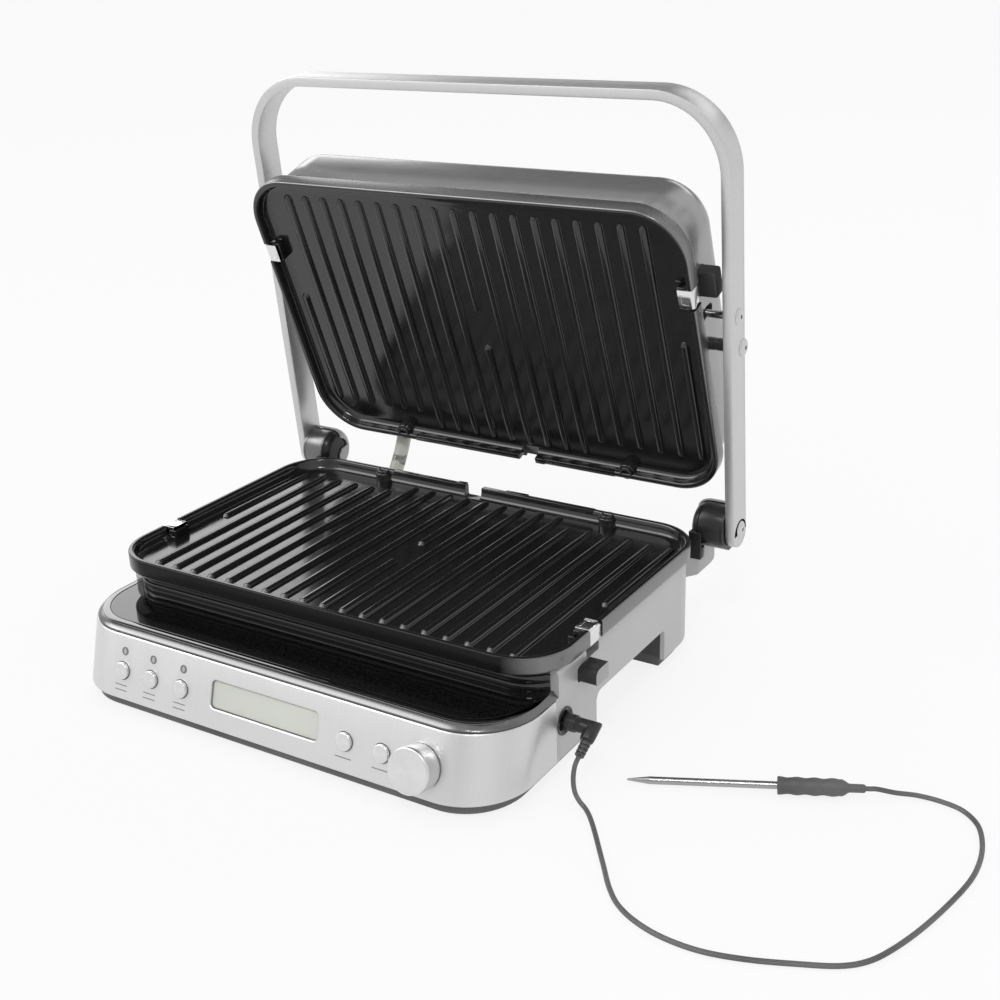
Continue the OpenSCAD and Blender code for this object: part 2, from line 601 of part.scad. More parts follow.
module deck_bezel() color([0.3, 0.3, 0.31]) at_base() difference() {
    union() {
        front_block(0.3, step_y - seam, panel_top_z + seam, panel_top_z + 2);
        front_block(1.3, step_y - seam, panel_top_z + 2, deck_z - 0.9);
        front_block(2.8, step_y - seam, deck_z - 0.9, deck_z + 0.3);
    }
    front_block(bezel_w, step_y + 1, tub_top_z - 1, deck_z + 5);
    front_block(-5, step_y + 1, 0, panel_top_z + seam);
    front_block(tub_gap - 0.2, step_y + 1, 0, tub_top_z);
    box(-base_w, base_w, fascia_end_y, step_y + 1, 0, tub_top_z);
    box(-base_w / 2 + housing_wall + seam, base_w / 2 - housing_wall - seam, riser_y0, step_y + 1, 0, 90);
}
module front_deck() color([0.05, 0.05, 0.055]) at_base() {
    side_x = base_w / 2 - bezel_w;
    front_block(bezel_w + seam, riser_y0 + 1, tub_top_z, deck_z);
    box(-side_x + seam, side_x - seam, riser_y0, riser_y1, tub_top_z, deck_z);
    difference() {
        union() {
            slab(2 * (side_x + 1.5), riser_y0, 80, 24, deck_z, deck_z + 6);
            slab(2 * side_x - 2, riser_y0 + 2, 80, 23, deck_z + 6, rib_top_z + slab_g);
        }
        slab(2 * side_x - 6, riser_y0 + 5, 80, 20, deck_z, 90);
        box(-base_w, base_w, riser_y1, 90, 0, 90);
    }
}

module lower_heater_pan() color([0.1, 0.1, 0.1]) at_base()
    pan(pan_x, pan_y0, pan_y1, deck_z, rib_top_z + slab_g, 20);
module lower_reflector() color([0.75, 0.75, 0.76]) at_base() difference() {
    slab(2 * (pan_x - 4), pan_y0 + 4, pan_y1 - 4, 16, deck_z + pan_wall, deck_z + pan_wall + 0.8);
    translate([0, (pan_y0 + pan_y1) / 2, 0]) cylinder(d = 18, h = 90);
}
module lower_heating_element() color([0.45, 0.43, 0.41]) at_base() {
    z = deck_z + pan_wall + 0.8 + element_d / 2;
    translate([0, 0, z]) heating_loop(2 * pan_x - 60, pan_y0 + 24, pan_y1 - 24, 18, 20);
}
module lower_plate_sensor() color([0.7, 0.68, 0.62]) at_base()
    translate([0, (pan_y0 + pan_y1) / 2, 0]) sensor(deck_z + pan_wall, rib_top_z + slab_g);

module lower_grill_plate() color([0.07, 0.07, 0.075]) at_plate() grill_plate();
module lower_clip_right() color([0.85, 0.85, 0.85]) at_plate() clip(base_w / 2);
module lower_clip_left() color([0.85, 0.85, 0.85]) at_plate() mirror([1, 0, 0]) clip(base_w / 2);
module lower_release_tab() color([0.08, 0.08, 0.08]) at_plate() translate([0, lower_tab_y, lower_tab_g])
    release_tab(base_w / 2, housing_wall, lower_tab_l);

module led_lenses() color([0.75, 0.78, 0.8]) for (x = light_x)
    at_panel(x, light_down) translate([0, 0, -1.6]) light_shape(0, 3.4);
module lcd_window() color([0.75, 0.77, 0.72]) at_panel(0, lcd_down)
    translate([0, 0, -fascia_t - 1.5]) linear_extrude(1.5) square([lcd_w + 4, lcd_h + 3], center = true);
module lcd_module() color([0.3, 0.35, 0.3]) at_panel(0, lcd_down)
    translate([0, 0, -fascia_t - 1.5 - 5]) linear_extrude(5) square([lcd_w + 3, lcd_h + 2], center = true);
board_depth = 14;
module control_board() color([0.1, 0.35, 0.2]) at_panel(0, button_down) difference() {
    translate([-knob_x - 10, -10, -board_depth - 1.6]) cube([2 * knob_x + 20, 24, 1.6]);
    translate([knob_x, 0, -board_depth]) cylinder(d = 3, h = 10, center = true);
}
module power_board() color([0.12, 0.4, 0.25]) at_base() {
    z = foot_h + web_t;
    w = 0.6 * base_w;
    translate([-w / 2, -16, z]) cube([w, 48, 4]);
    for (x = [-0.37, -0.18]) translate([x * w, -6, z]) cube([22, 18, 19]);
    translate([0.1 * w, -8, z]) cube([34, 26, 22]);
    translate([0.4 * w, 6, z]) cylinder(d = 16, h = 20);
}
module rotary_encoder() color([0.6, 0.6, 0.58]) at_panel(knob_x, button_down) {
    translate([-6.5, -6.5, -board_depth]) cube([13, 13, board_depth - fascia_t - 3]);
    translate([0, 0, -board_depth]) cylinder(d = shaft_d + 3, h = board_depth - fascia_t - 0.5);
}

// A push button: its cap, a collar behind the steel and a stem that ends over its switch on the board
module push_button(i) at_panel(button_x[i], button_down) {
    translate([0, 0, -fascia_t - fit]) cylinder(d = button_d, h = button_out + fascia_t + fit);
    translate([0, 0, -fascia_t - fit - 2]) cylinder(d = button_d + 4, h = 2);
    translate([0, 0, -board_depth + button_travel + 0.2])
        cylinder(d = 4, h = board_depth - fascia_t - 2 - button_travel - 0.2);
}
module mode_button_1() color([0.82, 0.82, 0.82]) push_button(0);
module mode_button_2() color([0.82, 0.82, 0.82]) push_button(1);
module mode_button_3() color([0.82, 0.82, 0.82]) push_button(2);
module start_button() color([0.82, 0.82, 0.82]) push_button(3);
module cancel_button() color([0.82, 0.82, 0.82]) push_button(4);
module control_knob() color([0.85, 0.85, 0.85]) at_panel(knob_x, button_down) {
    translate([0, 0, knob_gap]) cylinder(d = knob_d - 1, h = knob_h);
    translate([0, 0, knob_gap + 1]) cylinder(d = knob_d, h = knob_h - 2);
    translate([0, 0, -fascia_t - 0.2]) cylinder(d = shaft_d, h = knob_gap + fascia_t + 0.4);
}

module probe_socket() color([0.08, 0.08, 0.08]) at_base() translate([0, socket_y, socket_z]) difference() {
    union() {
        rod(base_w / 2 - 14, base_w / 2, socket_d);
        rod(base_w / 2, base_w / 2 + 1.2, socket_d + 2);
    }
    rod(base_w / 2 - 13, base_w / 2 + 5, jack_d + 2 * run);
}
module mains_gland() color([0.08, 0.08, 0.08]) at_base() translate([gland_x, base_y1, gland_z])
    rotate([-90, 0, 0]) difference() {
        union() {
            translate([0, 0, -8]) cylinder(d = gland_d, h = 12);
            cylinder(d = gland_d + 4, h = 2);
        }
        translate([0, 0, -9]) cylinder(d = 7, h = 20);
    }

module drip_tray() color([0.16, 0.16, 0.165]) at_base() {
    y1 = base_y1 - 0.4;
    difference() {
        translate([-tray_w / 2, y1 - tray_l, tray_z]) cube([tray_w, tray_l, tray_h]);
        translate([-tray_w / 2 + tray_wall, y1 - tray_l + tray_wall, tray_z + tray_wall])
            cube([tray_w - 2 * tray_wall, tray_l - 2 * tray_wall - 1, tray_h]);
    }
    translate([-22, y1 - 1, tray_z + tray_h - 4]) cube([44, 7, 2.5]);
}

// Hinge, drawn for the right side in the frame of the hinge axis

module hinge_bracket() {
    z0 = bracket_z0 - hinge_z;
    z1 = bracket_z1 - hinge_z;
    wall_y = base_y1 - hinge_y;
    difference() {
        union() {
            box(cheek_x, block_x + block_w, wall_y - 12, bracket_y1 - hinge_y - 5, z0, z1);
            box(cheek_x, block_x + block_w, wall_y - 12, bracket_y1 - hinge_y, z0 + 5, z1);
            box(cheek_x, cheek_x + cheek_t, -6, 14, z1 - 1, 0);
            rod(cheek_x, arm_in - 0.5, 2 * hood_out);
        }
        translate([0, -hinge_y, -hinge_z]) linear_extrude(200) rear_outline(-seam, step_y);
        rod(cheek_x - 1, cheek_x + cheek_t + 1, hinge_pin_d);
        rod(block_x - 0.3, arm_in, 2 * hood_in);
        box(block_x - 0.3, block_x + block_w + 1, -barrel_r - 0.3, -barrel_r + 9.3, -22.3, 0);
        // The hood covers the rear and the top of the barrel and is open to the front
        translate([block_x - 0.3, 0, 0]) rotate([90, 0, 90]) linear_extrude(60)
            polygon([[0, 0], [-15, 40], [-50, 40], [-50, -40], [-15, -40]]);
    }
}
module hinge_block() difference() {
    union() {
        rod(block_x, block_x + block_w, 2 * barrel_r);
        box(block_x, block_x + block_w, -barrel_r, -barrel_r + 9, -22, 0);
    }
    rod(block_x - 1, arm_in, hinge_pin_d);
}
module hinge_barrel() difference() {
    rod(barrel_x, barrel_x + barrel_l, 2 * barrel_r);
    rod(barrel_x - 1, arm_in - 5, hinge_pin_d + 2 * run);
    rod(barrel_x - 1, arm_in + 1, 5);
}
module hinge_bracket_right() color([0.66, 0.66, 0.67]) at_hinge() hinge_bracket();
module hinge_bracket_left() color([0.66, 0.66, 0.67]) at_hinge() mirror([1, 0, 0]) hinge_bracket();
module hinge_block_right() color([0.06, 0.06, 0.06]) at_hinge() hinge_block();
module hinge_block_left() color([0.06, 0.06, 0.06]) at_hinge() mirror([1, 0, 0]) hinge_block();
module hinge_barrel_right() color([0.06, 0.06, 0.06]) at_hinge() hinge_barrel();
module hinge_barrel_left() color([0.06, 0.06, 0.06]) at_hinge() mirror([1, 0, 0]) hinge_barrel();
module hinge_pins() color([0.8, 0.8, 0.8]) at_hinge() both_sides()
    rod(cheek_x, arm_in - 5.5, hinge_pin_d);

// Handle

module handle_bar() color([0.75, 0.75, 0.74]) at_arm() {
    both_sides() difference() {
        union() {
            box(arm_in, arm_out, -arm_tail, handle_len - handle_corner_r, -bar_w / 2, bar_w / 2);
            translate([0, -arm_tail, 0]) rod(arm_in, arm_out, bar_w);
        }
        rod(arm_in - 1, arm_out + 1, 5);
        translate([0, pivot_along, -pivot_back]) rod(arm_in - 1, arm_out + 1, 5);
        translate([0, guide_along, 0]) rod(arm_in - 1, arm_out + 1, 4);
    }
    both_sides() translate([arm_out - handle_corner_r, handle_len - handle_corner_r, 0])
        rotate_extrude(angle = 90) translate([handle_corner_r - bar_t, -bar_w / 2]) square([bar_t, bar_w]);
    box(-arm_out + handle_corner_r, arm_out - handle_corner_r, handle_len - bar_t, handle_len,
        -bar_w / 2, bar_w / 2);
}
module screw_head(d) {
    difference() {
        union() {
            rod(arm_out, arm_out + 1, d);
            rod(arm_out, arm_out + 2.4, d - 2.5);
        }
        translate([arm_out + 1, 0, 0]) rotate([0, 90, 0]) cylinder(d = 3.6, h = 3, $fn = 6);
    }
}
module handle_screws() color([0.8, 0.8, 0.8]) at_arm() both_sides() {
    screw_head(11);
    rod(arm_in - 4.9, arm_out, 5);
    translate([0, pivot_along, -pivot_back]) {
        screw_head(11);
        rod(arm_in, arm_out, 5);
    }
    translate([0, guide_along, 0]) {
        screw_head(10);
        rod(arm_in, arm_out, 4);
    }
}
// The black pivot bosses turn in the sides of the lid shell
module lid_pivots() color([0.08, 0.08, 0.08]) at_arm() both_sides() translate([0, pivot_along, -pivot_back]) {
    rod(shell_x - shell_wall - 2.2, arm_in, pivot_d);
    rod(shell_x + 1, arm_in, pivot_d + 3);
}
// The steel guide pins run in the arc slots of the lid shell
module guide_pins() color([0.85, 0.85, 0.85]) at_arm() both_sides() translate([0, guide_along, 0]) {
    rod(shell_x - shell_wall - 2.2, arm_in, guide_d);
}

// Lid

module lid_shell() color([0.7, 0.7, 0.71]) at_lid() difference() {
    shell_body(0, 0);
    shell_body(shell_wall, -1);
    both_sides() {
        translate([0, pivot_s, -pivot_depth]) rod(shell_x - 6, shell_x + 2, pivot_d + 2 * run);
        arc_slot();
    }
    translate([0, rib_len, 0]) rotate([0, 0, 180]) both_sides() clip_slot(shell_x);
    translate([0, upper_tab_s, upper_tab_g]) tab_hole(shell_x, upper_tab_l);
    translate([sleeve_x, shell_s0 - 1, sleeve_g]) rotate([-90, 0, 0]) cylinder(d = sleeve_d + 2 * fit, h = 6);
}
module shell_body(inset, lower) translate([0, 0, shell_g - lower])
    tub_shape(2 * (shell_x - inset), shell_s0 + inset, shell_s1 - inset, lid_depth + shell_g - inset - lower,
        shell_corner_r - inset, shell_round - inset);
module arc_slot() translate([shell_x - 6, pivot_s, -pivot_depth]) rotate([90, 0, 90])
    rotate([0, 0, guide_at - 16]) {
        rotate_extrude(angle = 28, $fn = 96) translate([guide_r - guide_slot_w / 2, 0])
            square([guide_slot_w, 9]);
        for (a = [0, 28]) rotate([0, 0, a]) translate([guide_r, 0, 0]) cylinder(d = guide_slot_w, h = 9);
    }

module upper_heater_pan() color([0.1, 0.1, 0.1]) at_lid()
    pan(upper_pan_x, upper_pan_s0, upper_pan_s1, upper_pan_g, slab_g, 20);
module upper_reflector() color([0.75, 0.75, 0.76]) at_lid() difference() {
    z = upper_pan_g + pan_wall;
    slab(2 * (upper_pan_x - 4), upper_pan_s0 + 4, upper_pan_s1 - 4, 16, z, z + 0.8);
    translate([0, rib_len / 2, -90]) cylinder(d = 18, h = 90);
}
module upper_heating_element() color([0.45, 0.43, 0.41]) at_lid()
    translate([0, 0, upper_pan_g + pan_wall + 0.8 + element_d / 2]) mirror([0, 1, 0])
        heating_loop(2 * upper_pan_x - 60, -upper_pan_s1 + 24, -upper_pan_s0 - 24, 18, 20);
module upper_plate_sensor() color([0.7, 0.68, 0.62]) at_lid()
    translate([0, rib_len / 2, 0]) sensor(upper_pan_g + pan_wall, slab_g);
module upper_grill_plate() color([0.07, 0.07, 0.075]) at_upper_plate() {
    grill_plate();
    // Teeth beside the drain gap and a drip tab on the other side
    for (x = [-drain_x - drain_w / 2 - 1.5, -drain_x + drain_w / 2 + 1.5])
        translate([x, plate_y1, rim_g]) linear_extrude(3) polygon([[-3, -0.5], [3, -0.5], [0, 5]]);
    translate([drain_x - 9, plate_y1 - 0.5, rim_g]) cube([18, 4.5, 2.4]);
}
// The clips are drawn for the plate's own front; here they stand on the lid's sides
module upper_clip_right() color([0.85, 0.85, 0.85]) at_upper_plate() mirror([1, 0, 0]) clip(shell_x);
module upper_clip_left() color([0.85, 0.85, 0.85]) at_upper_plate() clip(shell_x);
module upper_release_tab() color([0.08, 0.08, 0.08]) at_lid() translate([0, upper_tab_s, upper_tab_g])
    mirror([0, 0, 1]) release_tab(shell_x, shell_wall, upper_tab_l);

// Cords

function unit(v) = v / norm(v);
function tangent(p, i) = unit(p[min(i + 1, len(p) - 1)] - p[max(i - 1, 0)]);
// A side direction carried along the route, so that the rings don't twist
function sides_along(p, i = 0, u = undef, out = []) = i == len(p) ? out :
    let (t = tangent(p, i), a = i == 0 ? (abs(t[2]) < 0.9 ? [0, 0, 1] : [1, 0, 0]) : u,
        b = unit(a - (a * t) * t))
    sides_along(p, i + 1, b, concat(out, [b]));
function ring(c, t, u, d, n) = let (w = cross(t, u)) [for (k = [0 : n - 1]) c + d / 2 * (cos(360 * k / n) * u
    + sin(360 * k / n) * w)];
// Points between the route's own, on a Catmull-Rom curve
function curve(p, steps) = concat([for (i = [0 : len(p) - 2], k = [0 : steps - 1])
    let (a = p[max(i - 1, 0)], b = p[i], c = p[i + 1], e = p[min(i + 2, len(p) - 1)], t = k / steps)
    0.5 * (2 * b + (c - a) * t + (2 * a - 5 * b + 4 * c - e) * t * t + (3 * b - a - 3 * c + e) * t * t * t)],
    [p[len(p) - 1]]);
module sweep(p, d, n) {
    u = sides_along(p);
    m = len(p);
    rings = [for (i = [0 : m - 1]) each ring(p[i], tangent(p, i), u[i], d, n)];
    sides = [for (i = [0 : m - 2], k = [0 : n - 1]) each let (a = i * n + k, b = i * n + (k + 1) % n)
        [[b + n, b, a], [a + n, b + n, a]]];
    polyhedron(rings, concat(sides, [[for (k = [0 : n - 1]) k],
        [for (k = [n - 1 : -1 : 0]) (m - 1) * n + k]]));
}
module cable_sleeve() color([0.82, 0.81, 0.77]) at_base() sweep(sleeve_route, sleeve_d, 12);
module probe_cord() color([0.4, 0.4, 0.4]) at_base() sweep(curve(cord_route, 2), cord_d, 8);

module at_plug_leg() at_base() translate([plug_x, socket_y, socket_z]) rotate([90 + plug_down, 0, 0])
    children();
module probe_plug() color([0.08, 0.08, 0.08]) {
    at_base() translate([0, socket_y, socket_z]) {
        rod(base_w / 2 + 1.4, plug_x, plug_d);
        rod(base_w / 2 - 11, base_w / 2 + 2, jack_d);
        translate([plug_x, 0, 0]) sphere(d = plug_d + 0.4);
    }
    at_plug_leg() cylinder(d = plug_d, h = leg_l);
}
module probe_strain_relief() color([0.1, 0.1, 0.1]) at_plug_leg() translate([0, 0, leg_l]) difference() {
    union() {
        cylinder(d1 = 6.4, d2 = 4.6, h = relief_l);
        for (k = [0 : 2]) translate([0, 0, 1.5 + 3 * k]) cylinder(d = 6.6 - 0.6 * k, h = 1.4);
    }
}
module at_probe() at_base() translate(probe_tip) rotate([0, 0, probe_turn]) rotate([0, 90 - probe_rise, 0])
    children();
module probe_needle() color([0.8, 0.8, 0.8]) at_probe() {
    cylinder(d1 = 1, d2 = needle_d, h = 12);
    translate([0, 0, 12]) cylinder(d = needle_d, h = needle_l - 12);
}
module probe_grip() color([0.25, 0.25, 0.26]) at_probe() translate([0, 0, needle_l]) {
    cylinder(d = grip_d - 1.5, h = grip_l);
    for (k = [0 : 3]) translate([0, 0, 2 + k * (grip_l - 8) / 3]) cylinder(d = grip_d, h = 4);
    translate([0, 0, grip_l]) cylinder(d1 = 6.5, d2 = 4.5, h = neck_l);
}

base_housing();
bottom_cover();
feet();
front_fascia();
deck_bezel();
front_deck();
lower_heater_pan();
lower_reflector();
lower_heating_element();
lower_plate_sensor();
lower_grill_plate();
lower_clip_left();
lower_clip_right();
lower_release_tab();
led_lenses();
lcd_window();
lcd_module();
control_board();
power_board();
rotary_encoder();
mode_button_1();
mode_button_2();
mode_button_3();
start_button();
cancel_button();
control_knob();
probe_socket();
mains_gland();
drip_tray();
hinge_bracket_left();
hinge_bracket_right();
hinge_block_left();
hinge_block_right();
hinge_pins();
handle_bar();
hinge_barrel_left();
hinge_barrel_right();
handle_screws();
lid_pivots();
guide_pins();
lid_shell();
upper_heater_pan();
upper_reflector();
upper_heating_element();
upper_plate_sensor();
upper_grill_plate();
upper_clip_left();
upper_clip_right();
upper_release_tab();
cable_sleeve();
probe_plug();
probe_strain_relief();
probe_cord();
probe_grip();
probe_needle();
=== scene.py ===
import math

import bmesh
import bpy
from mathutils import Matrix, Vector


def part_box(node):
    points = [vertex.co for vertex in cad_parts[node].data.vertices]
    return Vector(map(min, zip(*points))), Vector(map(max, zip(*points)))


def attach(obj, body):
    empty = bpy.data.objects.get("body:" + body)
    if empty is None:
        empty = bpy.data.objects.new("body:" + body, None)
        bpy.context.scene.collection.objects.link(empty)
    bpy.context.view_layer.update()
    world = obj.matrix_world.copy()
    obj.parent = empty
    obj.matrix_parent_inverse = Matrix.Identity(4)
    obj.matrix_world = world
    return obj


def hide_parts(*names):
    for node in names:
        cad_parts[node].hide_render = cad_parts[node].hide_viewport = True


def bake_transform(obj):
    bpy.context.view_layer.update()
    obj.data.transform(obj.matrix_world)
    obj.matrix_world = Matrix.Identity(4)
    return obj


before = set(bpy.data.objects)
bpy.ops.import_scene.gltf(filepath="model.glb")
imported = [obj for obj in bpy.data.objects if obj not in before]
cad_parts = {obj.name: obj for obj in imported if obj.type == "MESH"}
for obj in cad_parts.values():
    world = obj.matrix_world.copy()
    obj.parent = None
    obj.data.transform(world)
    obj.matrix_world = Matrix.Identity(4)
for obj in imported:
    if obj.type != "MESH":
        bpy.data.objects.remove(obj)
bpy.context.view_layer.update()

SCENE = bpy.context.scene


# Sizes in millimetres, from the front rib ends, as in the part's source

PITCH, RIB_LEN, SHORT_RIB = 14.5, 168, 89
PLATE_W, PLATE_Y0, PLATE_Y1, PLATE_R = 319, -13.6, 192.4, 33
RIM, RIB_H, RIB_Y1, SIDE_RIB_Y1 = 5.4, 2.3, 183.9, 171
BOSS_X, BOSS_Y, CLIP_Y = 90, 188.2, 43.2
BASE_W, BASE_Y1, BASE_R = 313, 197.4, 39
BASE_X = BASE_W / 2
PANEL_Y, PANEL_Z, TILT = -51.5, 47, 15.5
DECK_Z, WALL_Z, STEP_Y = 51, 64.6, 6
BUTTONS = {"mode_button_1": -109, "mode_button_2": -86, "mode_button_3": -62, "start_button": 58,
           "cancel_button": 83}
BUTTON_DOWN, KNOB_X = 22, 108.5
LAMPS, LAMP_DOWN, DISPLAY_DOWN = (-108, -85, -61), 9.8, 19.1
FEET = [(x, y) for x in (-118, 118) for y in (-28, 165.4)]
SOCKET_Y, SOCKET_Z, PLUG_X = 11.6, 31, BASE_X + 17.5
GLAND_X, GLAND_Z = 105, 30
SLEEVE_X, SLEEVE_Z, SLEEVE_DEPTH, SLEEVE_D = -100, 50, -12, 10.4
CORD_D = 2.7
HINGE_Y, HINGE_Z = 208.0, 73.7
ARM_OPEN, LID_OPEN = 95.6, 110.4
ARM_IN, ARM_OUT, BAR_W, HANDLE_LEN, HANDLE_R = 168.5, 174.8, 19.7, 275, 48
PIVOT_ALONG, PIVOT_BACK, PIVOT_DEPTH, GUIDE_ALONG = 120.8, 6.3, 18.9, 142.4
PIVOT_S, LID_Y, LID_Z = 77.958, 211.9413, 114.8816
SHELL_X, SHELL_S0, SHELL_S1, SHELL_R, SHELL_ROUND, LID_DEPTH = 153.7, -20.2, 177.4, 30, 14.5, 50.6
MID = BASE_Y1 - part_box("base_housing")[1].y * 1000


def shift(x=0, y=0, z=0):
    return Matrix.Translation((x, y, z))


def turn(deg, axis):
    return Matrix.Rotation(math.radians(deg), 4, axis)


HERE = Matrix.Identity(4)
MIRROR = Matrix.Diagonal((-1, 1, 1, 1))
SIDES = (HERE, MIRROR)
ALONG_X = turn(90, "Y")
IN_LID = shift(0, LID_Y, LID_Z) @ turn(LID_OPEN, "X")
BASE = shift(0, -MID, 0)
PLATE = BASE @ shift(0, 0, 70)
LID = BASE @ IN_LID
UPPER = LID @ shift(0, RIB_LEN, 0) @ turn(180, "Z")
HINGE = BASE @ shift(0, HINGE_Y, HINGE_Z)
ARM = HINGE @ turn(ARM_OPEN, "X")


def on_panel(x, down):
    """A frame on the leaning panel, down from its top edge."""
    return shift(0, PANEL_Y, PANEL_Z) @ turn(90 - TILT, "X") @ shift(x, -down, 0)


def in_socket(depth):
    """A frame whose Z runs out of the probe socket, from a depth inside the wall's face."""
    return shift(BASE_X - depth, SOCKET_Y, SOCKET_Z) @ ALONG_X


def row(p):
    """A point of the part's source in the shared frame, in metres."""
    return Vector((p[0], p[1] - MID, p[2])) / 1000


# Camera

def camera():
    cam = bpy.data.objects.new("camera", bpy.data.cameras.new("camera"))
    SCENE.collection.objects.link(cam)
    cam.data.lens = 51.932
    cam.data.sensor_width = 36
    cam.data.clip_end = 60
    right, up = (0.850672, 0.524816, -0.03043), (-0.172632, 0.333556, 0.926789)
    back = (0.496544, -0.78314, 0.374347)
    look = Matrix((right, up, back)).transposed().to_4x4()
    cam.matrix_world = Matrix.Translation(row((496.614, -583.223, 438.339))) @ look
    SCENE.camera = cam
    SCENE.view_settings.view_transform = "Standard"
    SCENE.view_settings.look = "None"


camera()


# Materials

NONE, FULL = (0, 0, 0), (1, 1, 1)


class Nodes:
    """A node tree, built with short calls."""

    def __init__(self, owner):
        owner.use_nodes = True
        self.tree = owner.node_tree

    def set(self, node, **values):
        """Fills inputs, with values or with outputs to link, and the node's other settings."""
        for key, value in values.items():
            name = key.replace("_", " ")
            if name not in node.inputs:
                setattr(node, key, value)
            elif isinstance(value, bpy.types.NodeSocket):
                self.tree.links.new(value, node.inputs[name])
            else:
                node.inputs[name].default_value = value
        return node

    def add(self, kind, **values):
        return self.set(self.tree.nodes.new("ShaderNode" + kind), **values)

    def coords(self, source="Object", scale=(1, 1, 1)):
        return self.add("Mapping", Vector=self.add("TexCoord").outputs[source], Scale=scale).outputs["Vector"]

    def noise(self, vector, scale, detail=3, rough=0.55):
        made = self.add("TexNoise", Vector=vector, Scale=scale, Detail=detail, Roughness=rough)
        return made.outputs["Fac"]

    def span(self, value, low=0, high=1, a=0.3, b=0.7, **more):
        """The value's stretch from a to b, spread from low to high."""
        made = self.add("MapRange", Value=value, From_Min=a, From_Max=b, To_Min=low, To_Max=high, **more)
        return made.outputs["Result"]

    def step(self, value, a, b):
        return self.span(value, 0, 1, a, b, interpolation_type="SMOOTHSTEP")

    def tint(self, value, dark, light):
        return self.add("Mix", data_type="RGBA", Factor=value, A=(*dark, 1), B=(*light, 1)).outputs["Result"]

    def product(self, a, b):
        """One colour times another."""
        made = self.add("Mix", data_type="RGBA", blend_type="MULTIPLY", Factor=1.0, A=a, B=b)
        return made.outputs["Result"]

    def bump(self, height, distance):
        return self.add("Bump", Height=height, Distance=distance).outputs["Normal"]

    def maths(self, operation, *values):
        made = self.add("Math", operation=operation)
        for socket, value in zip(made.inputs, values):
            if isinstance(value, bpy.types.NodeSocket):
                self.tree.links.new(value, socket)
            else:
                socket.default_value = value
        return made.outputs[0]

    def times(self, first, *others):
        for other in others:
            first = self.maths("MULTIPLY", first, other)
        return first


class Surface(Nodes):
    """A material with one principled shader."""

    def __init__(self, name):
        self.mat = bpy.data.materials.new(name)
        super().__init__(self.mat)
        self.bsdf = self.tree.nodes["Principled BSDF"]

    def finish(self, **values):
        self.set(self.bsdf, **values)
        return self.mat


def mix(a, b, t):
    return tuple(x + (y - x) * t for x, y in zip(a, b))


def grey(v):
    """Linear colour of a grey that shows as v out of 255."""
    c = v / 255
    c = c / 12.92 if c <= 0.04045 else ((c + 0.055) / 1.055) ** 2.4
    return (c, c, c)


def painted(name, color, rough=0.4, metal=0.0, fleck=0.05, grain=900, depth=0.00002, **more):
    """Paint or moulded plastic: a faint cloudiness, fine fleck and a slight orange peel."""
    n = Surface(name)
    v = n.coords()
    clouds = n.tint(n.span(n.noise(v, 14, 2)), mix(color, NONE, fleck), mix(color, FULL, fleck * 0.4))
    flecks = n.tint(n.span(n.noise(v, grain, 2)), (1 - fleck,) * 3, FULL)
    return n.finish(Base_Color=n.product(clouds, flecks), Metallic=metal,
                    Roughness=n.span(n.noise(v, 60, 3), rough * 0.94, rough * 1.06),
                    Normal=n.bump(n.noise(v, grain * 0.6, 2), depth), **more)


def brushed(name, color, rough, lines, depth=0.000008, metal=1.0, aniso=0.6, spread=0.05):
    """Metal brushed along U of the piece's own map."""
    n = Surface(name)
    long_lines = n.noise(n.coords("UV", (*lines, 1)), 1, 4, 0.7)
    short_lines = n.noise(n.coords("UV", (lines[0] * 6, lines[1] * 2.3, 1)), 1, 2)
    streaks = n.tint(n.span(long_lines), mix(color, NONE, spread), mix(color, FULL, spread * 0.5))
    patches = n.tint(n.span(n.noise(n.coords(), 9, 2)), (0.96,) * 3, FULL)
    tangent = n.add("Tangent", direction_type="UV_MAP", uv_map="UVMap").outputs["Tangent"]
    return n.finish(Base_Color=n.product(streaks, patches), Metallic=metal, Anisotropic=aniso,
                    Roughness=n.span(short_lines, rough * 0.85, rough * 1.15),
                    Normal=n.bump(long_lines, depth), Tangent=tangent)


def coated(name, color, rough, ior, grain, depth):
    """Non-stick coating or gloss black, with a fine sparkle and faint wipe marks."""
    n = Surface(name)
    fine = n.noise(n.coords(), grain, 2)
    wipes = n.noise(n.coords("Object", (1, 6, 1)), 20, 3)
    return n.finish(Base_Color=n.tint(n.span(fine, 0, 1, 0.35, 0.8), color, mix(color, FULL, 0.012)),
                    IOR=ior, Roughness=n.span(wipes, rough * 0.85, rough * 1.2), Normal=n.bump(fine, depth))


def plate_edge_painted_sheen():
    """Edge of the lower plate: bare metal at its sides, coated towards the front and the rear, blended by
    which way each face points: a painted reflection that lights the sides.
    """
    n = Surface("lower_plate_edge_painted_sheen")
    facing_sideways = n.maths("ABSOLUTE", n.add("SeparateXYZ", Vector=n.coords("Normal")).outputs["X"])
    side_sheen = n.span(facing_sideways, 0.0, 1.0, 0.15, 0.75)
    return n.finish(Base_Color=n.tint(side_sheen, grey(14), grey(122)), Metallic=n.span(side_sheen, 0.0, 0.8, 0.0, 1.0),
                    Specular_IOR_Level=0.16, Roughness=n.span(n.noise(n.coords(), 60, 3), 0.26, 0.3))


def braided(name, dark, light):
    """Cord with a fine braid: crossed diagonal strands along the map."""
    n = Surface(name)
    strands = [n.add("TexWave", Vector=n.coords("UV", (along, 5, 1)), Scale=1.0, Distortion=0.4,
                     wave_type="BANDS", bands_direction="DIAGONAL").outputs["Fac"] for along in (900, -900)]
    weave = n.maths("MAXIMUM", *strands)
    return n.finish(Base_Color=n.tint(weave, dark, light), Normal=n.bump(weave, 0.00012), Roughness=0.42,
                    Metallic=0.3)


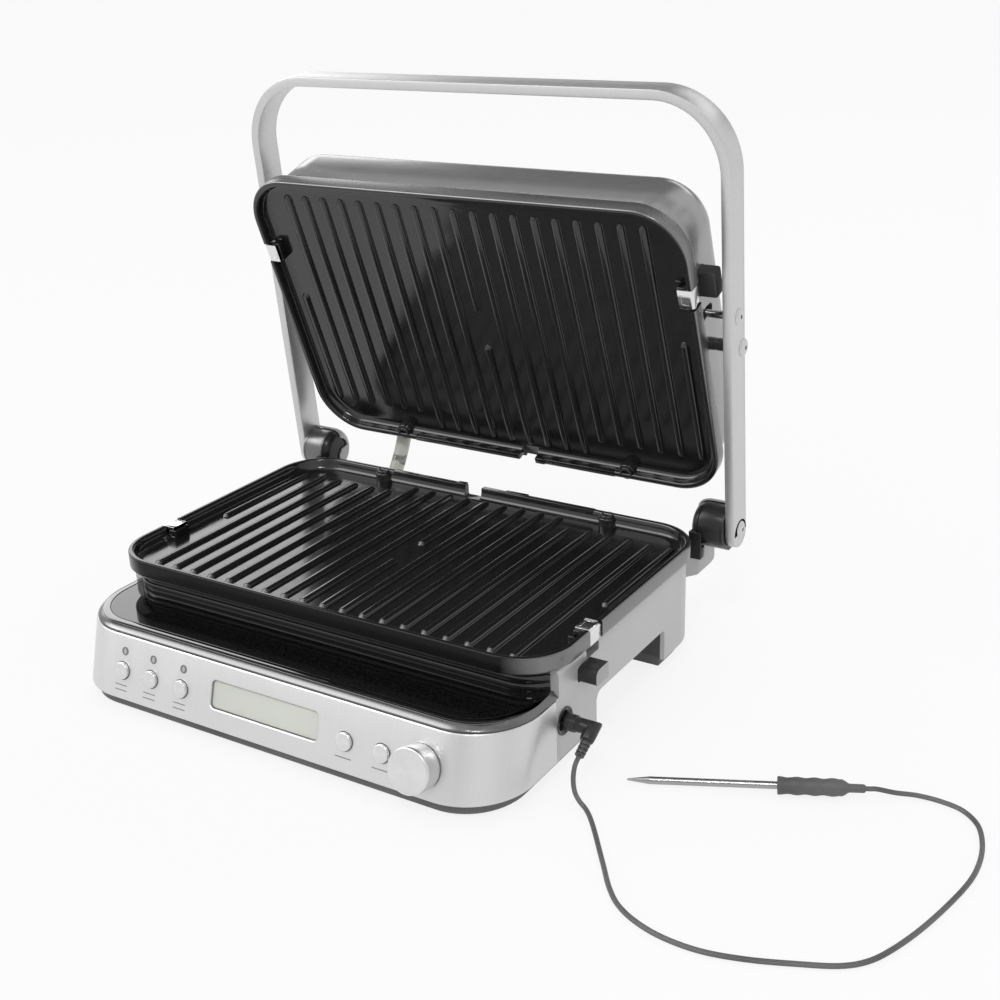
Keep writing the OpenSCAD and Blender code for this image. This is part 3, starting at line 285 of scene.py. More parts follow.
def display_grey():
    """Reflective liquid-crystal display: pale grey green, a little cloudy."""
    n = Surface("display")
    clouds = n.span(n.noise(n.coords(), 25, 2))
    return n.finish(Base_Color=n.tint(clouds, (0.50, 0.51, 0.45), (0.56, 0.57, 0.51)), Roughness=0.35,
                    Normal=n.bump(n.noise(n.coords(), 1800, 1), 0.00001))


def clear_glass():
    n = Surface("display_glass")
    return n.finish(Base_Color=(0.93, 0.95, 0.92, 1), Alpha=0.22, IOR=1.5,
                    Roughness=n.span(n.noise(n.coords(), 40, 2), 0.02, 0.06))


def circuit_board():
    n = Surface("circuit_board")
    tracks = n.noise(n.coords("Object", (420, 60, 420)), 1, 1)
    return n.finish(Base_Color=n.tint(n.span(tracks, 0, 1, 0.48, 0.52), (0.02, 0.14, 0.06),
                                      (0.03, 0.22, 0.1)), Normal=n.bump(tracks, 0.00003), Roughness=0.3)


STEEL = brushed("fascia_steel", grey(214), 0.36, (5, 2200), aniso=0.55, spread=0.07, metal=0.82)
ALU = brushed("handle_aluminium", grey(208), 0.38, (4, 1500), aniso=0.5, spread=0.06, metal=0.85)
SPUN = brushed("spun_aluminium", grey(222), 0.24, (2, 1800), 0.0000015, aniso=0.85, metal=0.95)
BRIGHT = brushed("bright_steel", grey(228), 0.16, (12, 900), aniso=0.3)
SMOKED = brushed("smoked_chrome", grey(112), 0.2, (4, 900), 0.000002, aniso=0.2)
CHROME = brushed("dark_chrome", grey(116), 0.04, (4, 900), 0.0000004, aniso=0.0, spread=0.02)
NEEDLE = painted("polished_steel", grey(172), 0.22, 1.0, 0.06, 1400, 0.000006)
SILVER = painted("silver_housing", grey(184), 0.36, 0.35, 0.02, 1400, 0.000006)
GUNMETAL = painted("silver_lid", grey(160), 0.24, 0.7, 0.02, 1400, 0.000004)
BRACKET = painted("silver_bracket", grey(164), 0.36, 0.4, 0.02, 1400, 0.000006)
# Lighter grey metal for the left hinge barrel only: its grey reflection is painted into the colour
LEFT_BARREL_REFLECTION = painted("left_barrel_painted_reflection", grey(112), 0.3, 0.8, 0.08, 900, 0.000006)
RIM_EDGE = painted("plate_edge", grey(122), 0.28, 0.8, 0.04, 1200, 0.000006)
# The lower plate's edge, lighter where it faces sideways: painted reflection
RIM_SIDE_SHEEN = plate_edge_painted_sheen()
PLATE_BLACK = coated("non_stick_black", grey(15), 0.14, 1.6, 1500, 0.0000025)
DECK_BLACK = coated("gloss_black", grey(6), 0.04, 1.58, 800, 0.0000002)
BLACK = painted("black_plastic", grey(34), 0.3, 0, 0.15, 1100)
GLOSS = painted("black_hinge", grey(10), 0.26, 0, 0.1, 900, 0.000003, Specular_IOR_Level=0.32)
TAB_BLACK = painted("tab_plastic", grey(20), 0.34, 0, 0.12, 900, 0.000008, Specular_IOR_Level=0.28)
TAB_END = painted("tab_end", grey(160), 0.4, 0.2, 0.06, 1200, 0.00001)
PLINTH = painted("plinth_brown_grey", grey(92), 0.55, 0, 0.1, 1200, 0.00004)
RUBBER = painted("foot_rubber", grey(36), 0.8, 0, 0.15, 700, 0.00006)
BELLY = painted("belly_plastic", grey(70), 0.6, 0, 0.1, 1000, 0.00005)
TRAY = painted("tray_plastic", grey(46), 0.5, 0, 0.12, 1000, 0.00004)
PAN = painted("heat_black", grey(30), 0.55, 0.1, 0.2, 700, 0.00003)
GRIP = painted("grip_plastic", grey(80), 0.55, 0, 0.15, 900, 0.00006)
# Near-black matte that stands in for the shade in gaps, slots and recesses: painted shade
GAP_SHADE = painted("painted_gap_shade", grey(10), 0.5, 0, 0.2)
PRINT = painted("grey_print", grey(120), 0.6)
LENS = painted("lamp_lens", grey(176), 0.12, 0, 0.05, 600, 0.00001)
CREAM = painted("sleeve_silicone", (0.56, 0.56, 0.51), 0.42, 0, 0.08, 300, 0.00003, Subsurface_Weight=0.25,
                Subsurface_Radius=(0.004, 0.004, 0.003))
CORD = braided("braided_cord", grey(64), grey(112))
DISPLAY, GLASS, BOARD = display_grey(), clear_glass(), circuit_board()


# Outlines

def polar(r, deg, x=0, y=0):
    return (x + r * math.cos(math.radians(deg)), y + r * math.sin(math.radians(deg)))


def arc(x, y, r, start, sweep, n):
    """Points along an arc, both its ends included. Angles are in degrees."""
    return [polar(r, start + sweep * k / n, x, y) for k in range(n + 1)]


def both_halves(half):
    """A run of points from one side to the middle, carried on to the other side."""
    return half + [(-p[0], *p[1:]) for p in reversed(half[:-1])]


def rrect(w, y0, y1, r, inset=0.0, n=10):
    """Points of a rounded rectangle, the same number for every inset."""
    r = max(r - inset, 0.4)
    x, low, high = w / 2 - inset - r, y0 + inset + r, y1 - inset - r
    corners = ((x, low, -90), (x, high, 0), (-x, high, 90), (-x, low, 180))
    return [p for cx, cy, start in corners for p in arc(cx, cy, r, start, 90, n)]


def ring(w, y0, y1, r, inset, z, n=10):
    return [(x, y, z) for x, y in rrect(w, y0, y1, r, inset, n)]


def front_path(inset, z, y_end):
    """The base's front outline at one height, leaning with the panel, from right to left."""
    r, x, lean = BASE_R - inset, BASE_X - inset, math.radians(TILT)
    half = arc(x - r, inset + r, r, 0, -90, 14) + [((x - r) * (1 - k / 6), inset) for k in range(1, 7)]
    half = [(px, PANEL_Y + v / math.cos(lean) + (z - PANEL_Z) * math.tan(lean), z) for px, v in half]
    return both_halves([(x, y_end, z)] + [p for p in half if p[1] < y_end - 0.3])


def bent(pts, n=6):
    """A polyline given as (point, radius) with its corners turned into arcs."""
    out = []
    for i, (p, r) in enumerate(pts):
        p = Vector(p)
        if r <= 0:
            out.append(p)
            continue
        before, after = (Vector(pts[j][0]) - p for j in (i - 1, i + 1))
        before, after = before.normalized(), after.normalized()
        half = before.angle(after) / 2
        along = r / math.tan(half)
        c = p + (before + after).normalized() * (r / math.sin(half))
        s, e = p + before * along - c, p + after * along - c
        sweep = s.angle(e)
        for k in range(n + 1):
            t = k / n
            out.append(c + (s * math.sin((1 - t) * sweep) + e * math.sin(t * sweep)) / math.sin(sweep))
    return out


# Mesh helpers

class Build:
    """Faces in millimetres, collected into one object."""

    def __init__(self, name, mat, body, replaces="", slot="", at=BASE, smooth=38):
        self.name, self.mat, self.body, self.replaced = name, mat, body, replaces
        self.slot, self.at, self.smooth = slot, at, smooth
        self.bm = bmesh.new()
        self.uv = self.bm.loops.layers.uv.new("UVMap")

    def face(self, verts, uvs=None):
        try:
            f = self.bm.faces.new(verts)
        except ValueError:
            return
        for loop, uv in zip(f.loops, uvs or [(v.co.x, v.co.y + v.co.z) for v in verts]):
            loop[self.uv].uv = (uv[0] / 1000, uv[1] / 1000)

    def grid(self, rows, caps=(True, True), loop=False, at=HERE):
        """Quads over closed rows of points. U runs round a row and V from row to row."""
        pts = [[at @ Vector(p) for p in r] for r in rows]
        vs = [[self.bm.verts.new(p) for p in r] for r in pts]
        nr, nc = len(vs), len(vs[0])
        longest = max(pts, key=lambda r: sum((r[j] - r[j - 1]).length for j in range(nc)))
        u, v = [0.0], [0.0]
        for j in range(nc):
            u.append(u[-1] + (longest[(j + 1) % nc] - longest[j]).length)
        for i in range(nr):
            v.append(v[-1] + max((pts[(i + 1) % nr][j] - pts[i][j]).length for j in range(nc)))
        for i in range(nr if loop else nr - 1):
            for j in range(nc):
                a, b = (i + 1) % nr, (j + 1) % nc
                corners = [(u[j], v[i]), (u[j + 1], v[i]), (u[j + 1], v[i + 1]), (u[j], v[i + 1])]
                self.face([vs[i][j], vs[i][b], vs[a][b], vs[a][j]], corners)
        if caps[0]:
            self.face(list(reversed(vs[0])))
        if caps[1]:
            self.face(vs[-1])

    def prism(self, outline, z0, z1, at=HERE):
        self.grid([[(x, y, z) for x, y in outline] for z in (z0, z1)], at=at)

    def lathe(self, profile, n=48, at=HERE):
        """Turns (radius, height) points about Z, closed at both ends."""
        self.grid([[(*polar(max(r, 0.01), 360 * k / n), z) for k in range(n)] for r, z in profile], at=at)

    def box(self, x0, x1, y0, y1, z0, z1, r=0.5, seg=2, at=HERE):
        """A block with all its edges rounded by r."""
        got = bmesh.ops.create_cube(self.bm, size=1)["verts"]
        for v in got:
            v.co = Vector((x0 if v.co.x < 0 else x1, y0 if v.co.y < 0 else y1, z0 if v.co.z < 0 else z1))
        edges = list({e for v in got for e in v.link_edges})
        made = bmesh.ops.bevel(self.bm, geom=edges, offset=r, segments=seg, profile=0.5, affect="EDGES")
        faces = {f for v in made["verts"] for f in v.link_faces}
        for f in faces:
            flat = (0, 1) if abs(f.normal.z) > 0.7 else (1, 2) if abs(f.normal.x) > 0.7 else (0, 2)
            for loop in f.loops:
                loop[self.uv].uv = [loop.vert.co[i] / 1000 for i in flat]
        for v in {v for f in faces for v in f.verts}:
            v.co = at @ v.co

    def pair(self, x0, x1, *rest):
        """The same block on both sides."""
        self.box(-x1, -x0, *rest)
        self.box(x0, x1, *rest)

    def tube(self, pts, d, n):
        """A round tube along a line of points, with V along it."""
        side = Vector((0, 0, 1))
        rows = []
        for i, p in enumerate(pts):
            t = (pts[min(i + 1, len(pts) - 1)] - pts[max(i - 1, 0)]).normalized()
            side = (side - side.dot(t) * t).normalized()
            spokes = [polar(d / 2, 360 * k / n) for k in range(n)]
            rows.append([p + a * side + b * t.cross(side) for a, b in spokes])
        self.grid(rows)

    def to_object(self):
        """The faces as an object in metres, all facing outward."""
        bmesh.ops.recalc_face_normals(self.bm, faces=self.bm.faces[:])
        self.bm.transform(self.at)
        self.bm.transform(Matrix.Scale(0.001, 4))
        if self.at.determinant() < 0:
            bmesh.ops.reverse_faces(self.bm, faces=self.bm.faces[:])
        mesh = bpy.data.meshes.new(self.name)
        self.bm.to_mesh(mesh)
        self.bm.free()
        mesh.materials.append(self.mat)
        obj = bpy.data.objects.new(self.name, mesh)
        SCENE.collection.objects.link(obj)
        return obj

    def done(self, cutters=(), bevel=0):
        """Cuts and bevels the shape and joins it to its body. A piece that bends has no body of its own."""
        obj = self.to_object()
        cutters = [c.to_object() for c in cutters]
        for c in cutters:
            mod = obj.modifiers.new("cut", "BOOLEAN")
            mod.object, mod.operation, mod.solver = c, "DIFFERENCE", "EXACT"
        if bevel:
            mod = obj.modifiers.new("edge", "BEVEL")
            mod.width, mod.segments, mod.limit_method = bevel / 1000, 2, "ANGLE"
            mod.angle_limit = math.radians(40)
        if obj.modifiers:
            bpy.context.view_layer.update()
            before = obj.data
            evaluated = obj.evaluated_get(bpy.context.evaluated_depsgraph_get())
            obj.data = bpy.data.meshes.new_from_object(evaluated)
            obj.modifiers.clear()
            bpy.data.meshes.remove(before)
        for c in cutters:
            bpy.data.objects.remove(c)
        obj.data.shade_smooth()
        obj.data.set_sharp_from_angle(angle=math.radians(self.smooth))
        if self.body:
            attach(obj, self.body)
        if self.replaced:
            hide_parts(self.replaced)
        return obj


def cutter(at=BASE):
    """A shape that is only used to cut with."""
    return Build("cutter", GAP_SHADE, "", at=at)


def turned(name, mat, body, replaces, slot, profile, n, place=HERE, at=BASE, smooth=38):
    """A piece turned from one profile."""
    b = Build(name, mat, body, replaces, slot, at, smooth)
    b.lathe(profile, n, place)
    return b.done()


def repaint(obj, at, mat, test):
    """Gives the faces that pass a test on centre and normal, in millimetres of a frame, another material."""
    obj.data.materials.append(mat)
    inward = at.inverted()
    for poly in obj.data.polygons:
        if test(inward @ (poly.center * 1000), (inward.to_3x3() @ poly.normal).normalized()):
            poly.material_index = len(obj.data.materials) - 1


def wear(obj, mat):
    """Gives a CAD node that keeps its own shape its material."""
    obj.data.materials.clear()
    obj.data.materials.append(mat)


# The probe's cord comes first: its route repeats the one in the part's source

DOWN = math.radians(29)
LEG = Vector((0, -math.cos(DOWN), -math.sin(DOWN)))
LEG_END = Vector((PLUG_X, SOCKET_Y, SOCKET_Z)) + 18 * LEG
TIP = Vector((192.4, 16.3, 2.15))
RISE, TURN = math.asin(2.95 / 82), math.radians(21.7)
PROBE_DIR = Vector((math.cos(TURN) * math.cos(RISE), math.sin(TURN) * math.cos(RISE), math.sin(RISE)))
NECK_END = TIP + 126 * PROBE_DIR
LIE = Vector((0, 0, 1.6))
MIDDLE = [(174.2, -8.8, 18), (174.6, -11.4, 14), (175.5, -13.3, 9.4), (177.5, -15, 5), (181, -16.5, 1.8),
          (186, -19, 0.2), (192, -25, 0), (200, -35, 0), (209, -47, 0), (218, -59, 0), (227, -71, 0),
          (237, -81, 0), (250, -88, 0), (266, -92, 0), (285, -92, 0), (305, -87, 0), (325, -79, 0),
          (342, -71, 0), (352, -62, 0), (359, -49, 0), (366, -29, 0), (372, -5, 0), (376, 18, 0),
          (376, 36, 0), (373, 52, 0), (367, 66, 0), (357, 75, 0), (345, 77.5, 0.2), (333, 76, 0.9),
          (323, 71, 2.2)]
ROUTE = [LEG_END - 0.6 * LEG, LEG_END + LEG] + [Vector(p) + LIE for p in MIDDLE]
ROUTE += [NECK_END + along * PROBE_DIR for along in (6, 2, -0.6)]


def smooth_line(p, steps):
    """Catmull-Rom points between the route's own."""
    out = []
    for i in range(len(p) - 1):
        a, b, c, e = p[max(i - 1, 0)], p[i], p[i + 1], p[min(i + 2, len(p) - 1)]
        for k in range(steps):
            t = k / steps
            cubic = 3 * b - a - 3 * c + e
            out.append(0.5 * (2 * b + (c - a) * t + (2 * a - 5 * b + 4 * c - e) * t * t + cubic * t ** 3))
    return out + [p[-1]]


cord_line = smooth_line(ROUTE, 5)
cord = Build("probe_cord_piece", CORD, "probe", "probe_cord", "cord_grey")
cord.tube(cord_line, CORD_D, 14)
cord_obj = cord.done()


# Probe: plug, strain relief, grip and needle

CORNER = Vector((PLUG_X - 0.3, SOCKET_Y, SOCKET_Z))
SPOKES = [Vector((0, *polar(1, 360 * k / 28))) for k in range(28)]


def at_line(origin, direction):
    """A frame whose Z runs along a direction."""
    return Matrix.Translation(origin) @ Vector((0, 0, 1)).rotation_difference(direction).to_matrix().to_4x4()


def mitre(radius):
    """A ring where the plug's body along X meets its leg, in the plane between both."""
    x = Vector((1, 0, 0))
    flat = (x + LEG).normalized()
    return [CORNER + radius * (w - x * (w.dot(flat) / flat.x)) for w in SPOKES]


def leg_ring(radius, along):
    """The mitre's ring carried on down the leg."""
    out = []
    for p in mitre(1):
        w = (p - CORNER) - LEG * (p - CORNER).dot(LEG)
        out.append(CORNER + LEG * along + w.normalized() * radius)
    return out


def plug():
    body = [(4.6, 1.4), (4.95, 1.8), (4.9, 7.6), (4.6, 7.9), (4.0, 8.0), (4.05, 8.5), (4.25, 8.8), (4.2, 12)]
    leg = [(4.15, 4.5), (3.95, 7.4), (3.6, 8.3), (2.9, 8.5)]
    b = Build("probe_plug_piece", GLOSS, "probe", "probe_plug", "plug_black", smooth=50)
    rows = [[Vector((BASE_X + x, SOCKET_Y, SOCKET_Z)) + r * w for w in SPOKES] for r, x in body]
    b.grid(rows + [mitre(4.15)] + [leg_ring(r, along) for r, along in leg])
    return b.done(bevel=0.35)


def jack():
    profile = [(0.4, 0), (1.2, 1.0), (1.35, 2.0), (1.0, 2.8), (1.7, 3.4), (1.7, 6), (1.45, 6.2),
               (1.45, 6.8), (1.7, 7.0), (1.7, 13.4)]
    return turned("probe_plug_pin", BRIGHT, "probe", "", "needle_steel", profile, 24, in_socket(11))


def relief():
    """Strain relief with three rings and a collar."""
    profile = [(1.6, -0.4), (2.9, -0.3), (2.9, 0.5)]
    for k in range(3):
        z, r = 0.7 + 2.5 * k, 2.95 - 0.08 * k
        profile += [(r - 0.7, z), (r - 0.7, z + 0.8), (r - 0.05, z + 0.95), (r, z + 1.3), (r, z + 2.1),
                    (r - 0.1, z + 2.4)]
    profile += [(2.05, 8.3), (2.1, 8.9), (2.7, 9.0), (2.75, 9.5), (2.45, 9.9), (1.5, 10.0)]
    place = at_line(Vector((PLUG_X, SOCKET_Y, SOCKET_Z)) + 8 * LEG, LEG)
    return turned("probe_strain_relief_piece", BLACK, "probe", "probe_strain_relief", "plug_black", profile,
                  32, place)


def grip():
    """Fluted grip with a tapering neck."""
    profile = [(2.2, 80.0), (4.55, 80.1), (4.9, 80.5)]
    flutes = [(math.radians(360 * 3.4 * k / 32), 81 + 31.5 * k / 32) for k in range(33)]
    profile += [(4.62 + 0.26 * math.cos(a), z) for a, z in flutes]
    profile += [(4.5, 113.6), (3.8, 115.2), (2.9, 116.4), (2.45, 117.2), (2.35, 118), (2.3, 124.6),
                (2.1, 125.6), (1.5, 125.9)]
    return turned("probe_grip_piece", GRIP, "probe", "probe_grip", "grip_grey", profile, 40,
                  at_line(TIP, PROBE_DIR))


plug_obj, jack_obj, relief_obj, grip_obj = plug(), jack(), relief(), grip()
needle_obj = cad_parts["probe_needle"]
wear(needle_obj, NEEDLE)


# Cooking plates

RIB_CROSS = [(2.85, 0.0), (2.55, 0.1), (2.4, 0.32), (2.2, 0.6), (1.85, 0.8), (1.25, 0.94), (0.45, 1.0)]
RIB_CROSS = [(-x, z) for x, z in RIB_CROSS] + RIB_CROSS[::-1]
# Distance from the rib's end with the share of its width and height there: round in plan, one flat facet
RIB_END = [(0.0, 0.02, 0.02), (0.06, 0.2, 0.1), (0.5, 0.56, 0.26), (1.1, 0.78, 0.47), (1.7, 0.91, 0.69),
           (2.3, 0.98, 0.9), (2.55, 1.0, 0.97), (2.9, 1.0, 1.0)]


def rib(b, x, y0, y1):
    ends = [(y0 + d, w, h) for d, w, h in RIB_END] + [(y1 - d, w, h) for d, w, h in reversed(RIB_END)]
    low, high = -RIB_H - 0.02, RIB_H - 0.1
    b.grid([[(x + cx * w, y, low + high * cz * h) for cx, cz in RIB_CROSS] for y, w, h in ends])


def on_outer_band(c, n):
    """Whether a face is on the rim's outside: within a millimetre of the outline, and facing outward."""
    middle, reach = (PLATE_Y0 + PLATE_Y1) / 2, (PLATE_Y1 - PLATE_Y0) / 2
    qx, qy = abs(c.x) - PLATE_W / 2 + PLATE_R, abs(c.y - middle) - reach + PLATE_R
    depth = PLATE_R - math.hypot(max(qx, 0), max(qy, 0)) if max(qx, qy) > 0 else 20
    return depth < 0.9 and abs(n.z) < 0.75 and -4.8 < c.z < 5.0


def plate_rim(name, node, at, body, edge):
    """Floor, rim and skirt in one, with the clips' notches and the drain gap."""
    profile = [(13.5, -RIB_H), (9.5, -RIB_H + 0.04), (7.6, -2.0), (6.2, -1.4), (5.2, -0.5), (4.6, 0.8),
               (4.2, 2.4), (3.9, 4.2), (3.5, 5.0), (2.8, 5.38), (1.4, RIM), (0.55, 5.2), (0.12, 4.7),
               (0, 3.9), (0, -3.6), (0.15, -4.3), (0.7, -4.85), (9.6, -4.9), (9.7, -6.6)]
    b = Build(name, PLATE_BLACK, body, node, "plate_black", at, 50)
    b.grid([ring(PLATE_W, PLATE_Y0, PLATE_Y1, PLATE_R, inset, z, 14) for inset, z in profile])
    cut = cutter(at)
    cut.pair(153.6, 170, 36.0, 50.4, -9, 9, 0.8, 2)
    cut.box(-20.5, -7.5, 184.5, 196, -RIB_H + 0.02, 9, 0.8, 2)
    repaint(b.done([cut]), at, edge, on_outer_band)


def plate_ribs(name, at, body, upper):
    """Ribs, bosses, ledges and hooks."""
    b = Build(name, PLATE_BLACK, body, "", "plate_black", at, 60)
    for i in range(-9, 10):
        if i:
            rib(b, i * PITCH, 0, RIB_Y1 if abs(i) < 5 else SIDE_RIB_Y1)
    rib(b, 0, 0, 77)
    rib(b, 0, 102, RIB_Y1)
    for x in (-10 * PITCH, 10 * PITCH):
        rib(b, x, RIB_LEN - SHORT_RIB, SIDE_RIB_Y1)
    for x in (-BOSS_X, BOSS_X):
        b.lathe([(5.9, -3.7), (5.9, 2.6), (5.7, 3.2), (5.2, 3.5), (4.7, 3.6), (4.6, 4.8), (4.3, 5.1),
                 (3.4, 5.1), (3.1, 4.8), (3.1, 4.0), (2.8, 3.7), (0.02, 3.6)], 36, shift(x, BOSS_Y, 0))
    # Flat bar between the bosses, raised at the side of the gap, with three pips
    for x0, x1 in ((-81.5, -20.6), (-7.6, 79.5)):
        b.box(x0, x1, BOSS_Y, 192.35, -3.6, 5.5, 0.45)
    b.box(-28, -20.6, 188.0, 192.39, 4, 6.3)
    for x in (-34, -48, -62):
        b.lathe([(1.0, 5.4), (1.0, 5.65), (0.7, 5.8), (0.02, 5.8)], 12, shift(x, 190.3, 0))
    if not upper:
        b.box(11, 28.5, 188.6, 192.39, 4.5, 6.3, 0.6)
    # Ledges that the clips hold
    b.pair(148.2, 153.7, 36.5, 49.5, -4, 3.1, 0.6, 3)
    b.pair(146.5, 150.6, 33.8, 35.4, -4, 0.2)
    if upper:
        for x in (-22, -6):
            b.box(x - 2.2, x + 2.2, 191.6, 195.4, -4.7, -2.2, 0.7)
        b.box(5, 23, 191.5, 196.2, -4.8, -2.6, 0.7)
    b.done()


# The lower plate's edge carries the painted side reflection, the upper's the plain edge metal
for name, at, body, edge in (("lower", PLATE, "base", RIM_SIDE_SHEEN), ("upper", UPPER, "lid", RIM_EDGE)):
    plate_rim(name + "_plate", name + "_grill_plate", at, body, edge)
    plate_ribs(name + "_plate_ribs", at, body, name == "upper")


# Spring clips: bent strips

def clip(node, at, body, leg):
    """The leg is the level at which the strip's outer side turns in."""
    b = Build(node + "_piece", BRIGHT, body, node, "clip_steel", at, 40)
    tip, out, half = 149.6, 158.4, 6.3
    line = bent([((tip, 0, 4.3), 0), ((out, 0, 4.3), 1.3), ((out, 0, leg), 1.2), ((154.9, 0, leg), 0)])
    cross = [(-half, -0.7), (-half + 0.25, -0.9), (half - 0.25, -0.9), (half, -0.7), (half, 0.7),
             (half - 0.25, 0.9), (-half + 0.25, 0.9), (-half, 0.7)]
    rows = []
    for i, p in enumerate(line):
        t = (line[min(i + 1, len(line) - 1)] - line[max(i - 1, 0)]).normalized()
        rows.append([p + Vector((0, CLIP_Y + w, 0)) + Vector((t.z, 0, -t.x)) * h for w, h in cross])
    b.grid(rows)
    # Pressed frame on the top face
    b.box(tip + 1.4, tip + 6.6, 46.4, 47.2, 5.1, 5.28, 0.08, 1)
    b.box(tip + 1.4, tip + 2.1, 39.4, 47.2, 5.1, 5.28, 0.08, 1)
    b.done()


clip("lower_clip_right", PLATE, "lower_clip", -5.0)
clip("lower_clip_left", PLATE @ MIRROR, "base", -5.0)
clip("upper_clip_right", UPPER @ MIRROR, "upper_clip", -2.6)
clip("upper_clip_left", UPPER, "lid", -2.6)


# Release tabs: stubs with grip dots

def tab(name, at, wall_x, length, front, edge):
    """A stub through the wall: its front corners have the radius front, its outer end the radius edge."""
    b = Build(name + "_piece", TAB_BLACK, name, name + "_tab", "tab_black", at, 35)
    h, l, x1, under = 4.9, length / 2, wall_x + 11.5, front * 0.7
    # Outline from the front top corner round by the bottom and the rear
    outline = arc(front - l, h - front, front, 90, 90, 6) + arc(under - l, under - h, under, 180, 90, 6)
    outline += arc(l - 1.0, 1.0 - h, 1.0, 270, 90, 6) + arc(l - 1.0, h - 1.0, 1.0, 0, 90, 6)
    steps = ((wall_x - 4.5, 0), (x1 - edge, 0), (x1 - edge * 0.62, 0.08 * edge),
             (x1 - edge * 0.29, 0.29 * edge), (x1 - edge * 0.08, 0.62 * edge), (x1, edge))
    b.grid([[(x, y * (1 - g / l), z * (1 - g / h)) for y, z in outline] for x, g in steps])
    # Grip dots on the top and the wider stop inside the wall
    b.box(wall_x + 5.0, wall_x + 6.6, 2.0, 4.0, h - 0.3, h + 0.75, 0.3)
    b.box(wall_x + 0.6, wall_x + 1.4, -l * 0.4, l * 0.5, h - 0.3, h + 0.35, 0.2)
    b.box(wall_x - 6.9, wall_x - 3.4, -l - 1.6, l + 1.6, -h - 0.7, h + 0.7, 0.6)
    return b.done()


LOWER_TAB = PLATE @ shift(0, 34.5, -18.4)
# The lower one's outer end is as light as the housing
repaint(tab("lower_release", LOWER_TAB, BASE_X, 14.6, 4.2, 0.35), LOWER_TAB, TAB_END,
        lambda c, n: n.x > 0.8 and c.x > BASE_X + 11)
tab("upper_release", LID @ shift(0, 123, -19) @ Matrix.Diagonal((1, 1, -1, 1)), SHELL_X, 17, 1.6, 1.6)


# Base: housing walls, fascia, frame, deck

def rear_path(inset):
    """The housing's outline from the right side's step round the rear to the left's."""
    r, x, y = BASE_R - inset, BASE_X - inset, BASE_Y1 - inset
    half = [(x, STEP_Y + (y - r - STEP_Y) * k / 8) for k in range(9)] + arc(x - r, y - r, r, 0, 90, 14)[1:]
    return both_halves(half + [((x - r) * (1 - k / 6), y) for k in range(1, 7)])


def housing():
    profile = [(0.5, 8.8), (0.0, 9.3), (0.0, 60.2), (0.25, 61.6), (0.9, 62.9), (1.9, 64.0), (3.1, WALL_Z),
               (4.4, WALL_Z), (5.0, 64.2), (5.2, 63.4), (5.2, 51.2), (3.0, 51.0), (3.0, 9.0), (2.6, 8.6),
               (1.0, 8.6)]
    b = Build("housing_piece", SILVER, "base", "base_housing", "housing_grey", smooth=32)
    b.grid(list(zip(*[[(x, y, z) for x, y in rear_path(inset)] for inset, z in profile])))
    # Side arches with rounded upper corners, and slots for the clips
    y0, y1, top, r0, r1 = 48.5, 137.0, 30.0, 6.0, 4.0
    arch = arc(y0 + r0, top - r0, r0, 180, -90, 8) + arc(y1 - r1, top - r1, r1, 90, -90, 8)
    arch += [(y1, 2.0), (y0, 2.0)]
    sides = cutter()
    for s in (-1, 1):
        sides.grid([[(s * x, y, z) for y, z in arch] for x in (150, 170)])
    sides.pair(BASE_X - 7, BASE_X + 4, 37.2, 51.5, 56.6, 67.0, 1.2, 3)
    # The lower tab's slot and the socket
    right = cutter()
    right.box(BASE_X - 7, BASE_X + 4, 26.9, 42.1, 46.4, 56.0, 2.0, 3)
    right.lathe([(6.55, 0), (6.55, 14)], 40, in_socket(8))
    # Drip tray, mains gland and cable sleeve
    rear = cutter()
    rear.box(-60.4, 60.4, BASE_Y1 - 9, BASE_Y1 + 4, 12.7, 28.5, 1.2, 3)
    rear.lathe([(7.05, 0), (7.05, 14)], 32, shift(GLAND_X, BASE_Y1 + 3, GLAND_Z) @ turn(90, "X"))
    rear.lathe([(5.85, 0), (5.85, 14)], 32, shift(SLEEVE_X, BASE_Y1 + 3, SLEEVE_Z) @ turn(90, "X"))
    b.done([sides, right, rear])


def housing_trim():
    """Stretch beside the steel's end, a dark box behind the clips' slots as painted shade, and the arches'
    inner walls.
    """
    ends = Build("housing_front_ends", SILVER, "base", slot="housing_grey", smooth=32)
    ends.pair(BASE_X - 3, BASE_X, 3.2, STEP_Y + 0.1, 8.7, 47.9, 0.35)
    ends.done()
    slot_shade = Build("slot_painted_shade", GAP_SHADE, "base", slot="pan_black", smooth=32)
    slot_shade.pair(147.5, 150.8, 34, 54, 56.9, 64.2)
    slot_shade.done()
    inner = Build("housing_inner", BELLY, "base", slot="housing_grey", smooth=32)
    for y in (46.2, 139.2):
        inner.box(-153.4, 153.4, y - 1.2, y + 1.2, 8.8, 46, 0.3, 1)
    inner.box(-153.4, 153.4, 46, 139.5, 31.5, 34, 0.3, 1)
    inner.done()


housing()
housing_trim()


def front_band(name, mat, profile, y_end, replaces="", slot="bezel_chrome", cutters=()):
    """A closed profile of (inset, height) run along the base's front outline."""
    b = Build(name, mat, "base", replaces, slot, smooth=30)
    b.grid(list(zip(*[front_path(inset, z, y_end) for inset, z in profile])))
    b.done(cutters)


